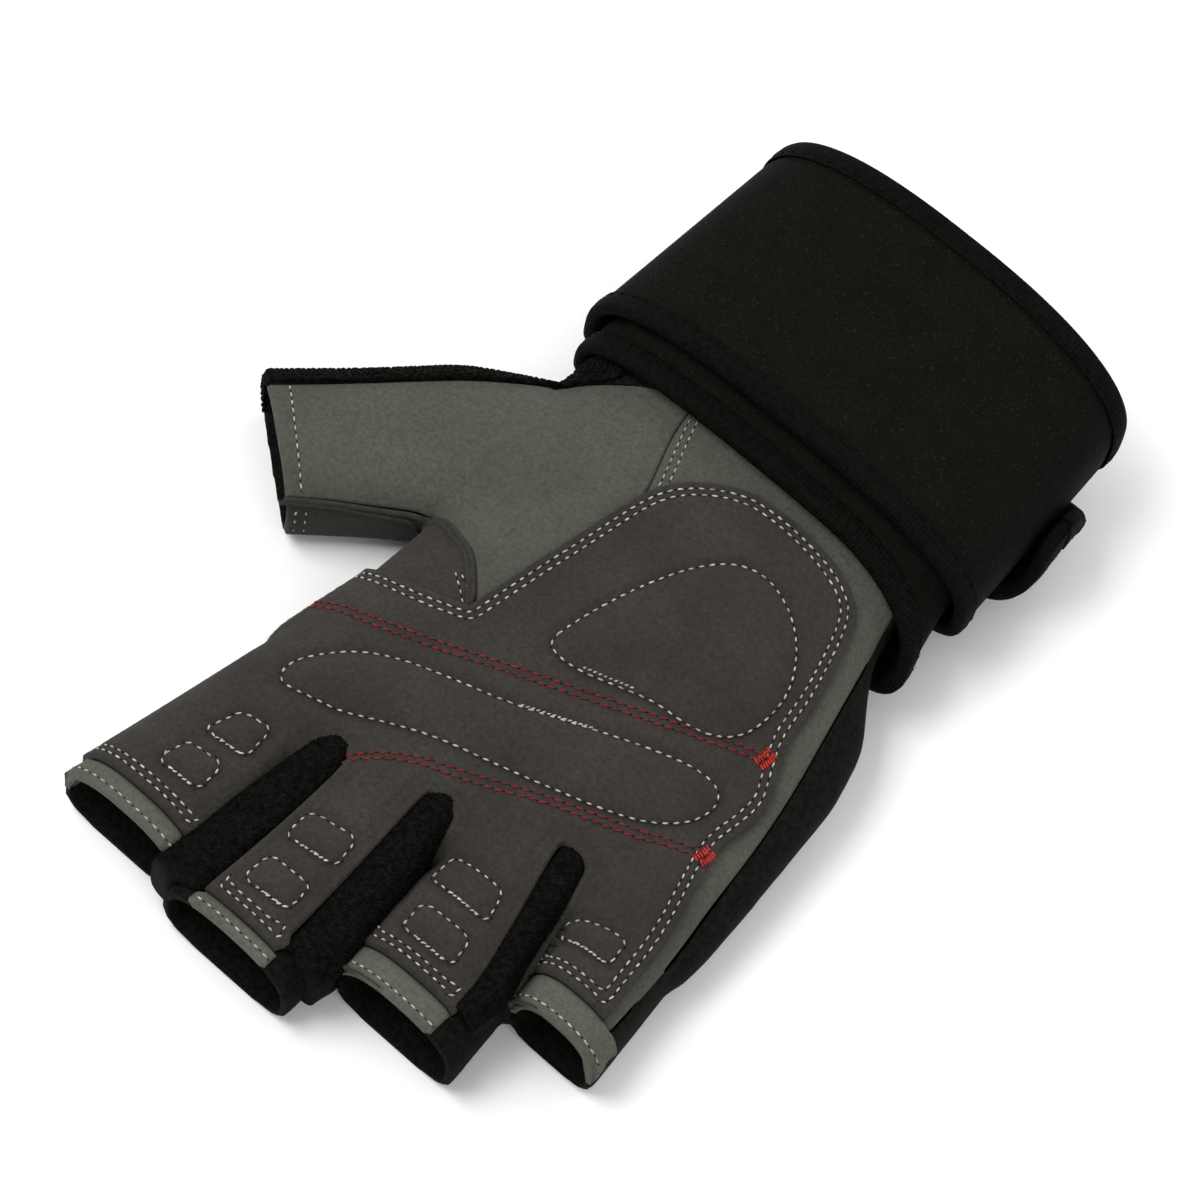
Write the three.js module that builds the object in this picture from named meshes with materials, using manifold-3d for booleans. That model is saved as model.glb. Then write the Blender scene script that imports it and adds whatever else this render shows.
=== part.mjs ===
import * as THREE from 'three';
import { mergeVertices } from 'three/addons/utils/BufferGeometryUtils.js';
import Module from 'manifold-3d';

// Half-finger lifting glove for the right hand, lying on its back with the palm up.
// Millimetres, +Z up, the fingers point to -Y, the wrist to +Y and the thumb to -X.
const wasm = await Module();
wasm.setup();

// Driving sizes of the hand
const half_width = 50;
const reach = 100;
const palm_height = 25;
const finger_height = 16;
const thumb_height = 16;
const thumb_width = 33.5;
const thumb_length = 55;
const thumb_opening_slant = 0.12;
const hem_depth = 5.5;

// Walls, overlays and clearances
const wall = 1.4;
const suede_thickness = 1.2;
const heel_pad_thickness = 2.6;
const knuckle_pad_thickness = 2.2;
const finger_pad_thickness = 1.8;
const knit_drop = 1.5;
const gap = 0.3;
const trim = 0.055;

// The wrist wrap, one band that runs round the wrist a little over two turns
const wrap_width = 53;
const wrap_thickness = 2;
const wrap_turns = 2.12;
const wrap_start_y = 36;
const wrap_step_y = 7.5;
const wrap_lead = 11;
const wrap_flare = 4;
const wrap_far_rise = 8;
const wrap_left_narrowing = 2.1;
const wrap_right_narrowing = 4.9;
const wrap_left = 45.2;
const wrap_right = 56.3;
const wrap_height = 34.7;
const wrap_pitch = 4.2;
const wrap_rest = 0.15;
const binding_width = 4.6;
const binding_thickness = 0.7;
const tab_width = 28;
const tab_tip_width = 12;
const tab_shift = 2;
const patch_width = 17.4;

const materials = {
  suede: { color: 0x444241, roughness: 0.95 },
  light_leather: { color: 0x5e645b, roughness: 0.85 },
  neoprene: { color: 0x141311, roughness: 0.8 },
  binding: { color: 0x12110f, roughness: 0.7 },
  knit: { color: 0x0f0f0d, roughness: 0.9 },
  stretch: { color: 0x171614, roughness: 0.85 },
  hook: { color: 0x101010, roughness: 0.6 },
};

const glove = new THREE.Group();

function solidOf(geometry) {
  const bare = geometry.clone();
  bare.deleteAttribute('normal');
  bare.deleteAttribute('uv');
  const merged = mergeVertices(bare, 1e-5);
  const mesh = new wasm.Mesh({
    numProp: 3,
    vertProperties: new Float32Array(merged.attributes.position.array),
    triVerts: new Uint32Array(merged.index.array),
  });
  return new wasm.Manifold(mesh);
}

// Cutting leaves crumbs beside a piece: the piece is the largest of what is left
function mainBody(solid) {
  return solid.simplify(trim).decompose().sort((a, b) => b.volume() - a.volume())[0];
}

function addPiece(name, solid, material) {
  const mesh = mainBody(solid).getMesh();
  const geometry = new THREE.BufferGeometry();
  geometry.setAttribute('position', new THREE.BufferAttribute(new Float32Array(mesh.vertProperties), 3));
  geometry.setIndex(new THREE.BufferAttribute(new Uint32Array(mesh.triVerts), 1));
  geometry.computeVertexNormals();
  const piece = new THREE.Mesh(geometry, new THREE.MeshStandardMaterial({ metalness: 0, ...materials[material] }));
  piece.name = name;
  glove.add(piece);
  return piece;
}

// A closed solid through rings of equally many points, capped at both ends
function loft(rings) {
  const count = rings[0].length;
  const positions = rings.flat().flatMap((p) => [p.x, p.y, p.z]);
  const faces = [];
  for (let r = 0; r + 1 < rings.length; r += 1) {
    for (let k = 0; k < count; k += 1) {
      const a = r * count + k;
      const b = r * count + ((k + 1) % count);
      faces.push(a, b, b + count, a, b + count, a + count);
    }
  }
  const addCap = (ring, start, flip) => {
    const across = new THREE.Vector3().subVectors(ring[Math.floor(count / 2)], ring[0]).normalize();
    const normal = new THREE.Vector3();
    ring.forEach((p, k) => normal.add(new THREE.Vector3().crossVectors(p, ring[(k + 1) % count])));
    const upwards = new THREE.Vector3().crossVectors(normal.normalize(), across);
    const flat = ring.map((p) => new THREE.Vector2(p.dot(across), p.dot(upwards)));
    THREE.ShapeUtils.triangulateShape(flat, []).forEach(([a, b, c]) => {
      faces.push(start + a, start + (flip ? c : b), start + (flip ? b : c));
    });
  };
  addCap(rings[0], 0, true);
  addCap(rings[rings.length - 1], (rings.length - 1) * count, false);
  const geometry = new THREE.BufferGeometry();
  geometry.setAttribute('position', new THREE.Float32BufferAttribute(positions, 3));
  geometry.setIndex(faces);
  const solid = solidOf(geometry);
  if (solid.volume() > 0) return solid;
  geometry.setIndex(faces.map((_, i) => faces[i - (i % 3) + (2 - (i % 3))]));
  return solidOf(geometry);
}

// The section of a tube that lies on a table: a round crown over a base pressed flat
const crown_power = 0.82;
const base_power = 0.55;
const side_share = 0.42;
const base_press = 0.6;
function tubePoint(angle, halfWidth, bottom, top) {
  const side = bottom + (top - bottom) * side_share;
  const c = Math.cos(angle);
  const s = Math.sin(angle);
  const across = halfWidth * Math.sign(c) * Math.abs(c) ** crown_power;
  const base = (bottom - base_press - side) * Math.abs(s) ** base_power;
  const rise = s >= 0 ? (top - side) * s ** crown_power : base;
  return [across, Math.max(bottom, side + rise)];
}
function tubeRing(centre, across, halfWidth, bottom, top, sides) {
  return Array.from({ length: sides }, (_, k) => {
    const [u, z] = tubePoint((2 * Math.PI * k) / sides, halfWidth, bottom, top);
    return new THREE.Vector3(centre.x + across.x * u, centre.y + across.y * u, z);
  });
}

// Stations of the hand from the wrist to the finger roots.
// Columns: place along the hand, left side, right side, underside and crown, as shares
// of the reach, the half width and the palm's height.
const palm_stations = [
  [0.54, -0.69, 0.86, 0.49, 0.93],
  [0.42, -0.69, 0.86, 0.49, 0.93],
  [0.34, -0.69, 0.87, 0.46, 0.93],
  [0.25, -0.70, 0.91, 0.36, 0.94],
  [0.19, -0.70, 0.99, 0.12, 0.94],
  [0.12, -0.69, 1.10, 0.0, 0.93],
  [0.0, -0.67, 1.17, 0.0, 0.90],
  [-0.14, -0.67, 1.20, 0.0, 0.86],
  [-0.28, -0.68, 1.23, 0.0, 0.80],
  [-0.40, -0.72, 1.25, 0.0, 0.74],
  [-0.48, -0.74, 1.25, 0.02, 0.71],
  [-0.57, -0.66, 1.17, 0.06, 0.62],
];

// The four fingers. Columns: name, left and right side at the root, left and right side
// at the opening (shares of the half width), root and opening along the hand (shares of
// the reach), the hem's left and right end (shares of the half width), and its depth as
// a share of the hem depth.
const finger_rows = [
  ['index', -0.62, -0.28, -0.86, -0.29, -0.24, -0.965, -0.83, -0.355, 0.85],
  ['middle', -0.24, 0.26, -0.28, 0.34, -0.24, -1.01, -0.16, 0.195, 0.62],
  ['ring', 0.30, 0.76, 0.35, 0.93, -0.20, -0.90, 0.38, 0.79, 1.05],
  ['little', 0.78, 1.14, 0.94, 1.29, -0.14, -0.73, 0.89, 1.24, 1.25],
];
const finger_root_height = 0.76 * palm_height;
const finger_steps = [0, 0.45, 0.75, 1];
const finger_slope_end = 0.83;
const finger_sides = 18;
const palm_sides = 30;

// The thumb runs out at a slant from the ball of the thumb to its opening
const thumb_root = new THREE.Vector3(-0.5 * half_width, 0.19 * reach, 0);
const thumb_out = new THREE.Vector3(-1, -1, 0).normalize();
const thumb_across = new THREE.Vector3(1, -1, 0).normalize();
// Columns: distance from the root (share of the thumb's length), width (share of the
// thumb's width), crown height (share between the palm's and the thumb's), and the shift
// across the thumb as a share of its width
const thumb_stations = [
  [-0.25, 0.64, 0.80, 0.10],
  [0.05, 0.92, 0.70, 0.02],
  [0.35, 1.04, 0.42, -0.06],
  [0.70, 0.97, 0.14, -0.08],
  [1.0, 0.96, 0.0, -0.085],
];

// The hand's skin at a distance outside (positive) or inside (negative) the base wall
function handBody(offset, overrun) {
  const lift = Math.max(0, -offset);
  const palm = loft(palm_stations.map(([y, left, right, under, crown], index) => {
    const past_end = index === 0 ? overrun : 0;
    const crotch_wall = index >= palm_stations.length - 2 ? lift : 0;
    const low = left * half_width - offset;
    const high = right * half_width + offset;
    const centre = new THREE.Vector3((low + high) / 2, y * reach + past_end - crotch_wall, 0);
    const bottom = under * palm_height + lift;
    return tubeRing(centre, new THREE.Vector3(1, 0, 0), (high - low) / 2, bottom,
      crown * palm_height + offset, palm_sides);
  }));
  let body = palm;
  finger_rows.forEach(([, rootLeft, rootRight, left, right, root, end]) => {
    const rings = finger_steps.map((share) => {
      const low = THREE.MathUtils.lerp(rootLeft, left, share) * half_width - offset;
      const high = THREE.MathUtils.lerp(rootRight, right, share) * half_width + offset;
      const y = THREE.MathUtils.lerp(root, end, share) * reach - (share === 1 ? overrun : 0);
      const slope = Math.min(1, share / finger_slope_end);
      const top = THREE.MathUtils.lerp(finger_root_height, finger_height, slope) + offset;
      const inset = high - low > 2 * gap ? gap / 2 : 0;
      const centre = new THREE.Vector3((low + high) / 2, y, 0);
      return tubeRing(centre, new THREE.Vector3(1, 0, 0), (high - low) / 2 - inset, lift, top, finger_sides);
    });
    body = body.add(loft(rings));
  });
  const thumb = loft(thumb_stations.map(([along, width, crown, shift], index) => {
    const last = index === thumb_stations.length - 1 ? overrun : 0;
    const centre = thumb_root.clone()
      .addScaledVector(thumb_out, along * thumb_length + last)
      .addScaledVector(thumb_across, shift * thumb_width);
    const top = THREE.MathUtils.lerp(thumb_height, palm_height, crown) + offset;
    const slant = index === thumb_stations.length - 1 ? thumb_opening_slant : 0;
    const across = thumb_across.clone().addScaledVector(thumb_out, -slant).normalize();
    return tubeRing(centre, across, (width * thumb_width) / 2 + offset, lift, top, finger_sides);
  }));
  return body.add(thumb);
}

// Outlines in plan. Columns: across and along the hand, shares of half width and reach.
const toPlan = (rows) => rows.map(([x, y]) => new THREE.Vector2(x * half_width, y * reach));

function grow(outline, distance) {
  const turn = THREE.ShapeUtils.area(outline) > 0 ? 1 : -1;
  return outline.map((point, k) => {
    const before = outline[(k + outline.length - 1) % outline.length];
    const after = outline[(k + 1) % outline.length];
    const first = new THREE.Vector2().subVectors(point, before).normalize();
    const second = new THREE.Vector2().subVectors(after, point).normalize();
    const sum = new THREE.Vector2(first.y + second.y, -first.x - second.x).multiplyScalar(turn);
    const stretch = Math.max(0.4, sum.length() / 2);
    return point.clone().addScaledVector(sum.normalize(), distance / stretch);
  });
}

const sky = 3 * palm_height;
function prism(outline, low = -sky) {
  const geometry = new THREE.ExtrudeGeometry(new THREE.Shape(outline), { depth: 2 * sky, bevelEnabled: false, steps: 1 });
  geometry.translate(0, 0, low);
  return solidOf(geometry);
}

// The back of the hand: all that lies under the fold where the palm side meets the back
const fold_share = 0.36;
const backSide = (drop) => loft(
  [[1, ...palm_stations[0].slice(1)], ...palm_stations.slice(1, -1), [-1.2, 0, 0, 0, finger_height / palm_height]]
    .map(([y, , , under, crown]) => {
      const fold = (under + (crown - under) * fold_share) * palm_height - drop;
      const low = -sky;
      const wide = 3 * half_width;
      return [[-wide, low], [wide, low], [wide, fold], [-wide, fold]]
        .map(([x, z]) => new THREE.Vector3(x, y * reach, z));
    }),
);
const back_side = backSide(0);
const back_side_lowered = backSide(gap);

// Cutters for a panel of the palm side, and for the room that its neighbours leave it
const panel = (outline) => prism(outline).subtract(back_side);
const room = (outline) => prism(grow(outline, gap)).subtract(back_side_lowered);

const outer = handBody(0, 0);
const hollow = handBody(-wall, 2);
const shell = outer.subtract(hollow);

// Points on the thumb: distance out as a share of its length, and across as a share of
// its width, from the knit edge at -0.5 to the lower edge at 0.5.
const onThumb = (rows) => rows.map(([out, across]) => {
  const point = thumb_root.clone()
    .addScaledVector(thumb_out, out * thumb_length)
    .addScaledVector(thumb_across, across * thumb_width);
  return new THREE.Vector2(point.x, point.y);
});
const past_opening = 1.12;
const thumb_fold = onThumb([
  [past_opening, 0.325], [0.82, 0.34], [0.62, 0.38], [0.50, 0.41], [0.44, 0.47], [0.40, 0.64], [0.36, 0.77],
]);
const thumb_panel_outline = [
  ...onThumb([[past_opening, -0.44], [0.50, -0.46], [0.10, -0.42], [-0.22, -0.36]]),
  ...toPlan([[-0.22, 0.42], [-0.24, 0.30], [-0.19, 0.21], [-0.13, 0.145], [-0.16, 0.08], [-0.17, -0.02],
    [-0.19, -0.10], [-0.25, -0.16]]),
  ...[...thumb_fold].reverse(),
];
const knit_edge = onThumb([
  [past_opening, -0.45], [0.50, -0.47], [0.10, -0.43], [-0.22, -0.37], [-0.22, -0.80], [past_opening, -0.80],
]);
const gusset_outline = [
  ...thumb_fold,
  ...toPlan([[-0.28, -0.22], [-0.50, -0.285], [-0.78, -0.30], [-1.0, -0.50]]),
  ...onThumb([[past_opening, 0.7]]),
];
const palm_base_outline = toPlan([
  [-0.30, 0.56], [0.80, 0.56], [0.84, 0.34], [0.92, 0.21], [1.0, 0.06], [1.07, -0.07], [1.12, -0.20],
  [1.15, -0.32], [1.20, -0.47], [1.23, -0.66], [0.84, -0.66], [0.81, -0.79], [0.79, -0.84],
  [0.38, -0.84], [0.30, -0.88], [0.195, -0.92], [0.195, -0.975], [-0.16, -0.975], [-0.145, -0.92],
  [-0.25, -0.90], [-0.355, -0.918], [-1.1, -0.918], [-1.1, -0.26],
  [-0.60, -0.26], [-0.26, -0.21], [-0.24, -0.17], [-0.24, 0.14], [-0.30, 0.30],
]);

// The knit strips between the fingers, from the crotch to the finger ends.
// Columns: place along the hand, then the strip's left and right side.
const knit_rows = [
  [[-0.60, -0.245, -0.175], [-0.63, -0.29, -0.14], [-0.80, -0.33, -0.13], [-0.97, -0.355, -0.14], [-0.985, -0.355, -0.14]],
  [[-0.55, 0.18, 0.25], [-0.58, 0.15, 0.28], [-0.74, 0.17, 0.34], [-0.90, 0.19, 0.385], [-0.955, 0.195, 0.36]],
  [[-0.46, 0.65, 0.72], [-0.49, 0.63, 0.76], [-0.62, 0.71, 0.81], [-0.76, 0.78, 0.88], [-0.83, 0.79, 0.87]],
];
const knit_outline = (rows) => toPlan([
  ...rows.map(([y, left]) => [left, y]),
  ...rows.map(([y, , right]) => [right, y]).reverse(),
]);

// Light hems at the finger openings
const hem_outline = ([, , , , , , end, left, right, depth]) => [
  new THREE.Vector2(left * half_width, end * reach - hem_depth),
  new THREE.Vector2(right * half_width, end * reach - hem_depth),
  new THREE.Vector2(right * half_width, end * reach + depth * hem_depth),
  new THREE.Vector2(left * half_width, end * reach + depth * hem_depth),
];

// Each strip bulges up between its two fingers, and its walls go down to the back
const knit_floor = 0.10 * palm_height;
const knit_sides = 12;
const knit_crown = (y) => THREE.MathUtils.lerp(finger_height, finger_root_height,
  THREE.MathUtils.smoothstep(y, -1.0, -0.5)) - knit_drop;
const knitRoll = (rows) => loft(rows.map(([y, left, right]) => tubeRing(
  new THREE.Vector3(((left + right) / 2) * half_width, y * reach, 0), new THREE.Vector3(1, 0, 0),
  ((right - left) / 2) * half_width, knit_floor, knit_crown(y), knit_sides)));
const slab = (low) => prism([
  new THREE.Vector2(-3 * half_width, -2 * reach), new THREE.Vector2(3 * half_width, -2 * reach),
  new THREE.Vector2(3 * half_width, 2 * reach), new THREE.Vector2(-3 * half_width, 2 * reach),
], low);
const above_seam = slab(knit_floor);
const above_seam_lowered = slab(knit_floor - gap);
const strip = (outline) => prism(outline).intersect(above_seam);
const stripRoom = (outline) => prism(grow(outline, gap)).intersect(above_seam_lowered);
const knit_rooms = knit_rows.map((rows) => stripRoom(knit_outline(rows)));
const hem_rooms = finger_rows.map((row) => room(hem_outline(row)));
const thumb_panel_room = room(thumb_panel_outline);
const thumb_knit_room = stripRoom(knit_edge);
const gusset_room = stripRoom(gusset_outline);

const without = (solid, cutters) => cutters.reduce((left, cutter) => left.subtract(cutter), solid);

addPiece('thumb_panel', without(shell.intersect(panel(thumb_panel_outline)), [thumb_knit_room]), 'light_leather');
addPiece('thumb_knit', shell.intersect(strip(knit_edge)), 'knit');
addPiece('thumb_gusset', without(shell.intersect(strip(gusset_outline)), [thumb_panel_room]), 'suede');
finger_rows.forEach((row) => {
  addPiece(`hem_${row[0]}`, without(shell.intersect(panel(hem_outline(row))), knit_rooms), 'light_leather');
});
knit_rows.forEach((rows, k) => {
  const cutter = strip(knit_outline(rows));
  const roll = knitRoll(rows).intersect(cutter).subtract(hollow);
  addPiece(`finger_knit_${k + 1}`, shell.intersect(cutter).add(roll), 'knit');
});
const taken = [...knit_rooms, ...hem_rooms, thumb_panel_room, thumb_knit_room, gusset_room];
addPiece('palm_base', without(shell.intersect(panel(palm_base_outline)), taken), 'light_leather');
const back = without(shell, [...taken, room(palm_base_outline)]);

// The back is cut in a hand part, a thumb part and a part for each finger, with seams
// across the roots and along the lines where two fingers meet
const finger_seam = -0.52;
const past_fingers = -1.1;
const beside_hand = 1.6;
const meetings = finger_rows.slice(1).map(([, rootLeft, , left, , root, end], k) => {
  const [, , rootRight, , right] = finger_rows[k];
  const at = (y) => THREE.MathUtils.lerp(rootLeft + rootRight, left + right, (y - root) / (end - root)) / 2;
  return [at(finger_seam), at(past_fingers)];
});
const dividers = [[-beside_hand, -beside_hand], ...meetings, [beside_hand, beside_hand]];
const finger_cells = dividers.slice(1).map(([seam_right, end_right], k) => toPlan([
  [dividers[k][0], finger_seam], [dividers[k][1], past_fingers], [end_right, past_fingers], [seam_right, finger_seam],
]));
const thumb_cell = onThumb([[0.45, -0.9], [past_opening, -0.9], [past_opening, 0.64], [0.45, 0.64]]);
addPiece('back_panel', without(back, [...finger_cells, thumb_cell].map((cell) => prism(grow(cell, gap / 2)))), 'stretch');
addPiece('back_thumb', back.intersect(prism(grow(thumb_cell, -gap / 2))), 'stretch');
finger_cells.forEach((cell, k) => {
  addPiece(`back_${finger_rows[k][0]}`, back.intersect(prism(grow(cell, -gap / 2))), 'stretch');
});

// The dark suede of the palm lies over the base, from the heel of the hand to the hems
const suede_outline = toPlan([
  [-0.13, 0.16], [-0.08, 0.22], [0.02, 0.275], [0.15, 0.315], [0.27, 0.325], [0.42, 0.325], [0.58, 0.315],
  [0.70, 0.295], [0.78, 0.26], [0.85, 0.16], [0.90, 0.08], [0.92, 0.02], [0.94, -0.03], [1.0, -0.09],
  [1.05, -0.14], [1.05, -0.20], [1.03, -0.27], [1.08, -0.34], [1.15, -0.42], [1.19, -0.49],
  [1.22, -0.58], [1.24, -0.66], [0.84, -0.66], [0.81, -0.79], [0.79, -0.84],
  [0.38, -0.84], [0.30, -0.88], [0.195, -0.92], [0.195, -0.975], [-0.16, -0.975], [-0.145, -0.92],
  [-0.25, -0.90], [-0.355, -0.918], [-1.1, -0.918], [-1.1, -0.27], [-0.60, -0.275], [-0.47, -0.255],
  [-0.36, -0.22], [-0.26, -0.20], [-0.20, -0.15], [-0.16, -0.07], [-0.15, 0.02], [-0.14, 0.10],
]);
const suede_under = gap;
const suede_top = gap + suede_thickness;
const suede_skin = handBody(suede_top, 0).subtract(handBody(suede_under, 1));
addPiece('palm_suede', without(
  suede_skin.intersect(panel(suede_outline)),
  [...knit_rooms, ...hem_rooms, gusset_room, thumb_panel_room],
), 'suede');

// Padded patches sewn on the suede
const heel_pad_outline = toPlan([
  [0.05, -0.19], [0.06, -0.14], [0.10, -0.05], [0.15, 0.03], [0.22, 0.11], [0.31, 0.17], [0.42, 0.195],
  [0.54, 0.185], [0.65, 0.155], [0.74, 0.11], [0.81, 0.05], [0.83, -0.02], [0.81, -0.085],
  [0.74, -0.125], [0.63, -0.145], [0.50, -0.15], [0.36, -0.175], [0.22, -0.20], [0.11, -0.205],
]);
const knuckle_pad_outline = toPlan([
  [-0.55, -0.585], [-0.56, -0.545], [-0.51, -0.49], [-0.42, -0.43], [-0.30, -0.395], [-0.12, -0.365],
  [0.14, -0.325], [0.38, -0.27], [0.60, -0.22], [0.78, -0.185], [0.89, -0.185], [0.93, -0.22],
  [0.90, -0.28], [0.78, -0.34], [0.58, -0.385], [0.32, -0.43], [0.05, -0.47], [-0.14, -0.515],
  [-0.26, -0.535], [-0.38, -0.565], [-0.49, -0.59],
]);
// Small finger pads. Columns: name, middle across and along the hand, width and length
// as shares of half width and reach.
const pad_rows = [
  ['finger_pad_index_upper', -0.485, -0.715, 0.17, 0.075],
  ['finger_pad_index_lower', -0.52, -0.82, 0.18, 0.075],
  ['finger_pad_middle_upper', 0.02, -0.765, 0.20, 0.075],
  ['finger_pad_middle_lower', 0.02, -0.88, 0.20, 0.075],
  ['finger_pad_ring_upper', 0.52, -0.65, 0.23, 0.075],
  ['finger_pad_ring_lower', 0.56, -0.755, 0.23, 0.075],
  ['finger_pad_little', 0.96, -0.56, 0.23, 0.075],
];
const padOutline = ([, x, y, width, length]) => {
  const round = 0.3;
  const corners = [[-1, -1], [1, -1], [1, 1], [-1, 1]];
  return corners.flatMap(([across, along]) => {
    const near = [x + (across * width) / 2, y + (along * length * (1 - round)) / 2];
    const far = [x + (across * width * (1 - round)) / 2, y + (along * length) / 2];
    return toPlan(across === along ? [near, far] : [far, near]);
  });
};
const pad_under = handBody(suede_top + gap, 1);
const padSkin = (thickness) => handBody(suede_top + gap + thickness, 1).subtract(pad_under);
addPiece('heel_pad', padSkin(heel_pad_thickness).intersect(panel(heel_pad_outline)), 'suede');
addPiece('knuckle_pad', padSkin(knuckle_pad_thickness).intersect(panel(knuckle_pad_outline)), 'suede');
const finger_pad_skin = padSkin(finger_pad_thickness);
pad_rows.forEach((row) => {
  addPiece(row[0], finger_pad_skin.intersect(panel(padOutline(row))), 'suede');
});

// The wrap's route: the turn count grows from the innermost start to the tab's tip, and
// the band lies one pitch further out with each turn
const wrap_end_angle = THREE.MathUtils.degToRad(5);
const wrap_middle_y = wrap_start_y + wrap_step_y + wrap_width / 2;
const lead_to = 0.3;
function wrapPoint(turn, y, depth) {
  const angle = wrap_end_angle + (turn - wrap_turns) * 2 * Math.PI;
  const share = (y - wrap_start_y) / (wrap_width + wrap_step_y);
  const lead = 1 - THREE.MathUtils.smoothstep(turn, 0, lead_to);
  const mouth = THREE.MathUtils.clamp((wrap_start_y + wrap_step_y - y) / (wrap_lead + wrap_step_y), 0, 1);
  const inset = (wrap_turns - turn) * wrap_pitch + depth - wrap_flare * lead * mouth;
  const left = -wrap_left + share * wrap_left_narrowing + inset;
  const right = wrap_right - share * wrap_right_narrowing - inset;
  const base_inset = inset - (wrap_pitch * (wrap_end_angle + Math.PI / 2)) / (2 * Math.PI);
  const bottom = wrap_rest + binding_thickness + gap + base_inset;
  const top = wrap_height + share * wrap_far_rise - inset;
  const [u, z] = tubePoint(angle, (right - left) / 2, bottom, top);
  return new THREE.Vector3((left + right) / 2 + u, y, z);
}
// Places along the band, counted in turns back from the tab's tip
const shift_span = [1.5, 1.2];
const taper_span = [0.5, 0.28];
const tip_span = 0.14;
const spanShare = (turn, [from, to]) => THREE.MathUtils.smoothstep(turn, wrap_turns - from, wrap_turns - to);
function wrapEdges(turn) {
  const shift = wrap_step_y * spanShare(turn, shift_span);
  const lead = wrap_lead * (1 - THREE.MathUtils.smoothstep(turn, 0, lead_to));
  const taper = spanShare(turn, taper_span);
  const tip = Math.max(0, (turn - wrap_turns + tip_span) / tip_span);
  const straight = THREE.MathUtils.lerp(wrap_width, tab_width, taper);
  const width = THREE.MathUtils.lerp(tab_tip_width, straight, Math.sqrt(1 - tip * tip));
  const middle = wrap_middle_y - wrap_step_y + shift + tab_shift * taper;
  return [middle - width / 2 - lead, middle + width / 2];
}
const steps_per_turn = 24;
const wrap_steps = Array.from({ length: Math.floor(wrap_turns * steps_per_turn) + 1 }, (_, k) => k / steps_per_turn);
wrap_steps.push((wrap_steps[wrap_steps.length - 1] + wrap_turns) / 2, wrap_turns);
function bandSolid(from, to, section) {
  const turns = wrap_steps.filter((turn) => turn >= from && turn <= to);
  return loft(turns.map((turn) => section(...wrapEdges(turn)).map(([y, depth]) => wrapPoint(turn, y, depth))));
}
const across_band = [0, 0.33, 0.67, 1];
addPiece('wrist_wrap', bandSolid(0, wrap_turns, (near, far) => [
  ...across_band.map((share) => [near + share * (far - near), 0]),
  ...across_band.map((share) => [far - share * (far - near), wrap_thickness]),
]), 'neoprene');

// Tape folded over an edge of the band: an outer flange, the fold and an inner flange
const tape_out = -(gap + binding_thickness);
const tape_in = wrap_thickness + gap + binding_thickness;
const tapeSection = (edge, inward) => [
  [edge + inward * binding_width, -gap],
  [edge + inward * binding_width, tape_out],
  [edge + inward * tape_out, tape_out],
  [edge + inward * tape_out, tape_in],
  [edge + inward * binding_width, tape_in],
  [edge + inward * binding_width, wrap_thickness + gap],
  [edge - inward * gap, wrap_thickness + gap],
  [edge - inward * gap, -gap],
];
addPiece('wrap_binding_near', bandSolid(0, wrap_turns, (near) => tapeSection(near, 1)), 'binding');
addPiece('wrap_binding_far', bandSolid(0, wrap_turns, (near, far) => tapeSection(far, -1)), 'binding');

// The hidden hook patch holds the tab on the turn below it
const patch_from = wrap_turns - 0.25;
const patch_to = wrap_turns - 0.11;
const patch_middle_y = wrap_middle_y + tab_shift;
const patch_top = wrap_thickness + gap;
const patch_bottom = wrap_pitch - gap;
addPiece('hook_patch', bandSolid(patch_from, patch_to, () => [
  [patch_middle_y - patch_width / 2, patch_top],
  [patch_middle_y + patch_width / 2, patch_top],
  [patch_middle_y + patch_width / 2, patch_bottom],
  [patch_middle_y - patch_width / 2, patch_bottom],
]), 'hook');

// The frame's origin is under the middle of the object, on the surface it lies on
const box = new THREE.Box3().setFromObject(glove);
glove.position.set(-(box.min.x + box.max.x) / 2, -(box.min.y + box.max.y) / 2, 0);

export default glove;
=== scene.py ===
import math
import bpy
import bmesh
import numpy as np
from mathutils import Matrix, Vector, geometry
from mathutils.kdtree import KDTree


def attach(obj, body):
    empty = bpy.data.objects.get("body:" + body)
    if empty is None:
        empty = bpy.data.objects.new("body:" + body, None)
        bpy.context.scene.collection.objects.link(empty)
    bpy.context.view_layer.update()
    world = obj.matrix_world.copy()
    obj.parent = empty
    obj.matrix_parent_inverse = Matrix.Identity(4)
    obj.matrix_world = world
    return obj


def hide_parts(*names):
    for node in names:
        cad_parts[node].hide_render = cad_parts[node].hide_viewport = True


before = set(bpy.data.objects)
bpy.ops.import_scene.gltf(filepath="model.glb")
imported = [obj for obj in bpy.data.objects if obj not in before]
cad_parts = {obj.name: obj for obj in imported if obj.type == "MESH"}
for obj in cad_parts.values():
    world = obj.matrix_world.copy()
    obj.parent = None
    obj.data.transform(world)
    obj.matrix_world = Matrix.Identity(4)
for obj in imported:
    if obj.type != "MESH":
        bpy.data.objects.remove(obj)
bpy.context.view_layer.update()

# The picture: a plain pale floor, soft studio light, and a camera that looks down at
# the palm from the finger side, turned so that the fingers point to the lower left.
scene = bpy.context.scene
mm = 0.001
hand_origin = Vector((7.099, 1.75, 0.0))
camera_azimuth = math.radians(30)
camera_elevation = math.radians(57)
camera_roll = math.radians(14)
camera_distance = 900 * mm
camera_target = (hand_origin + Vector((0, 0, 12))) * mm

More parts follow.
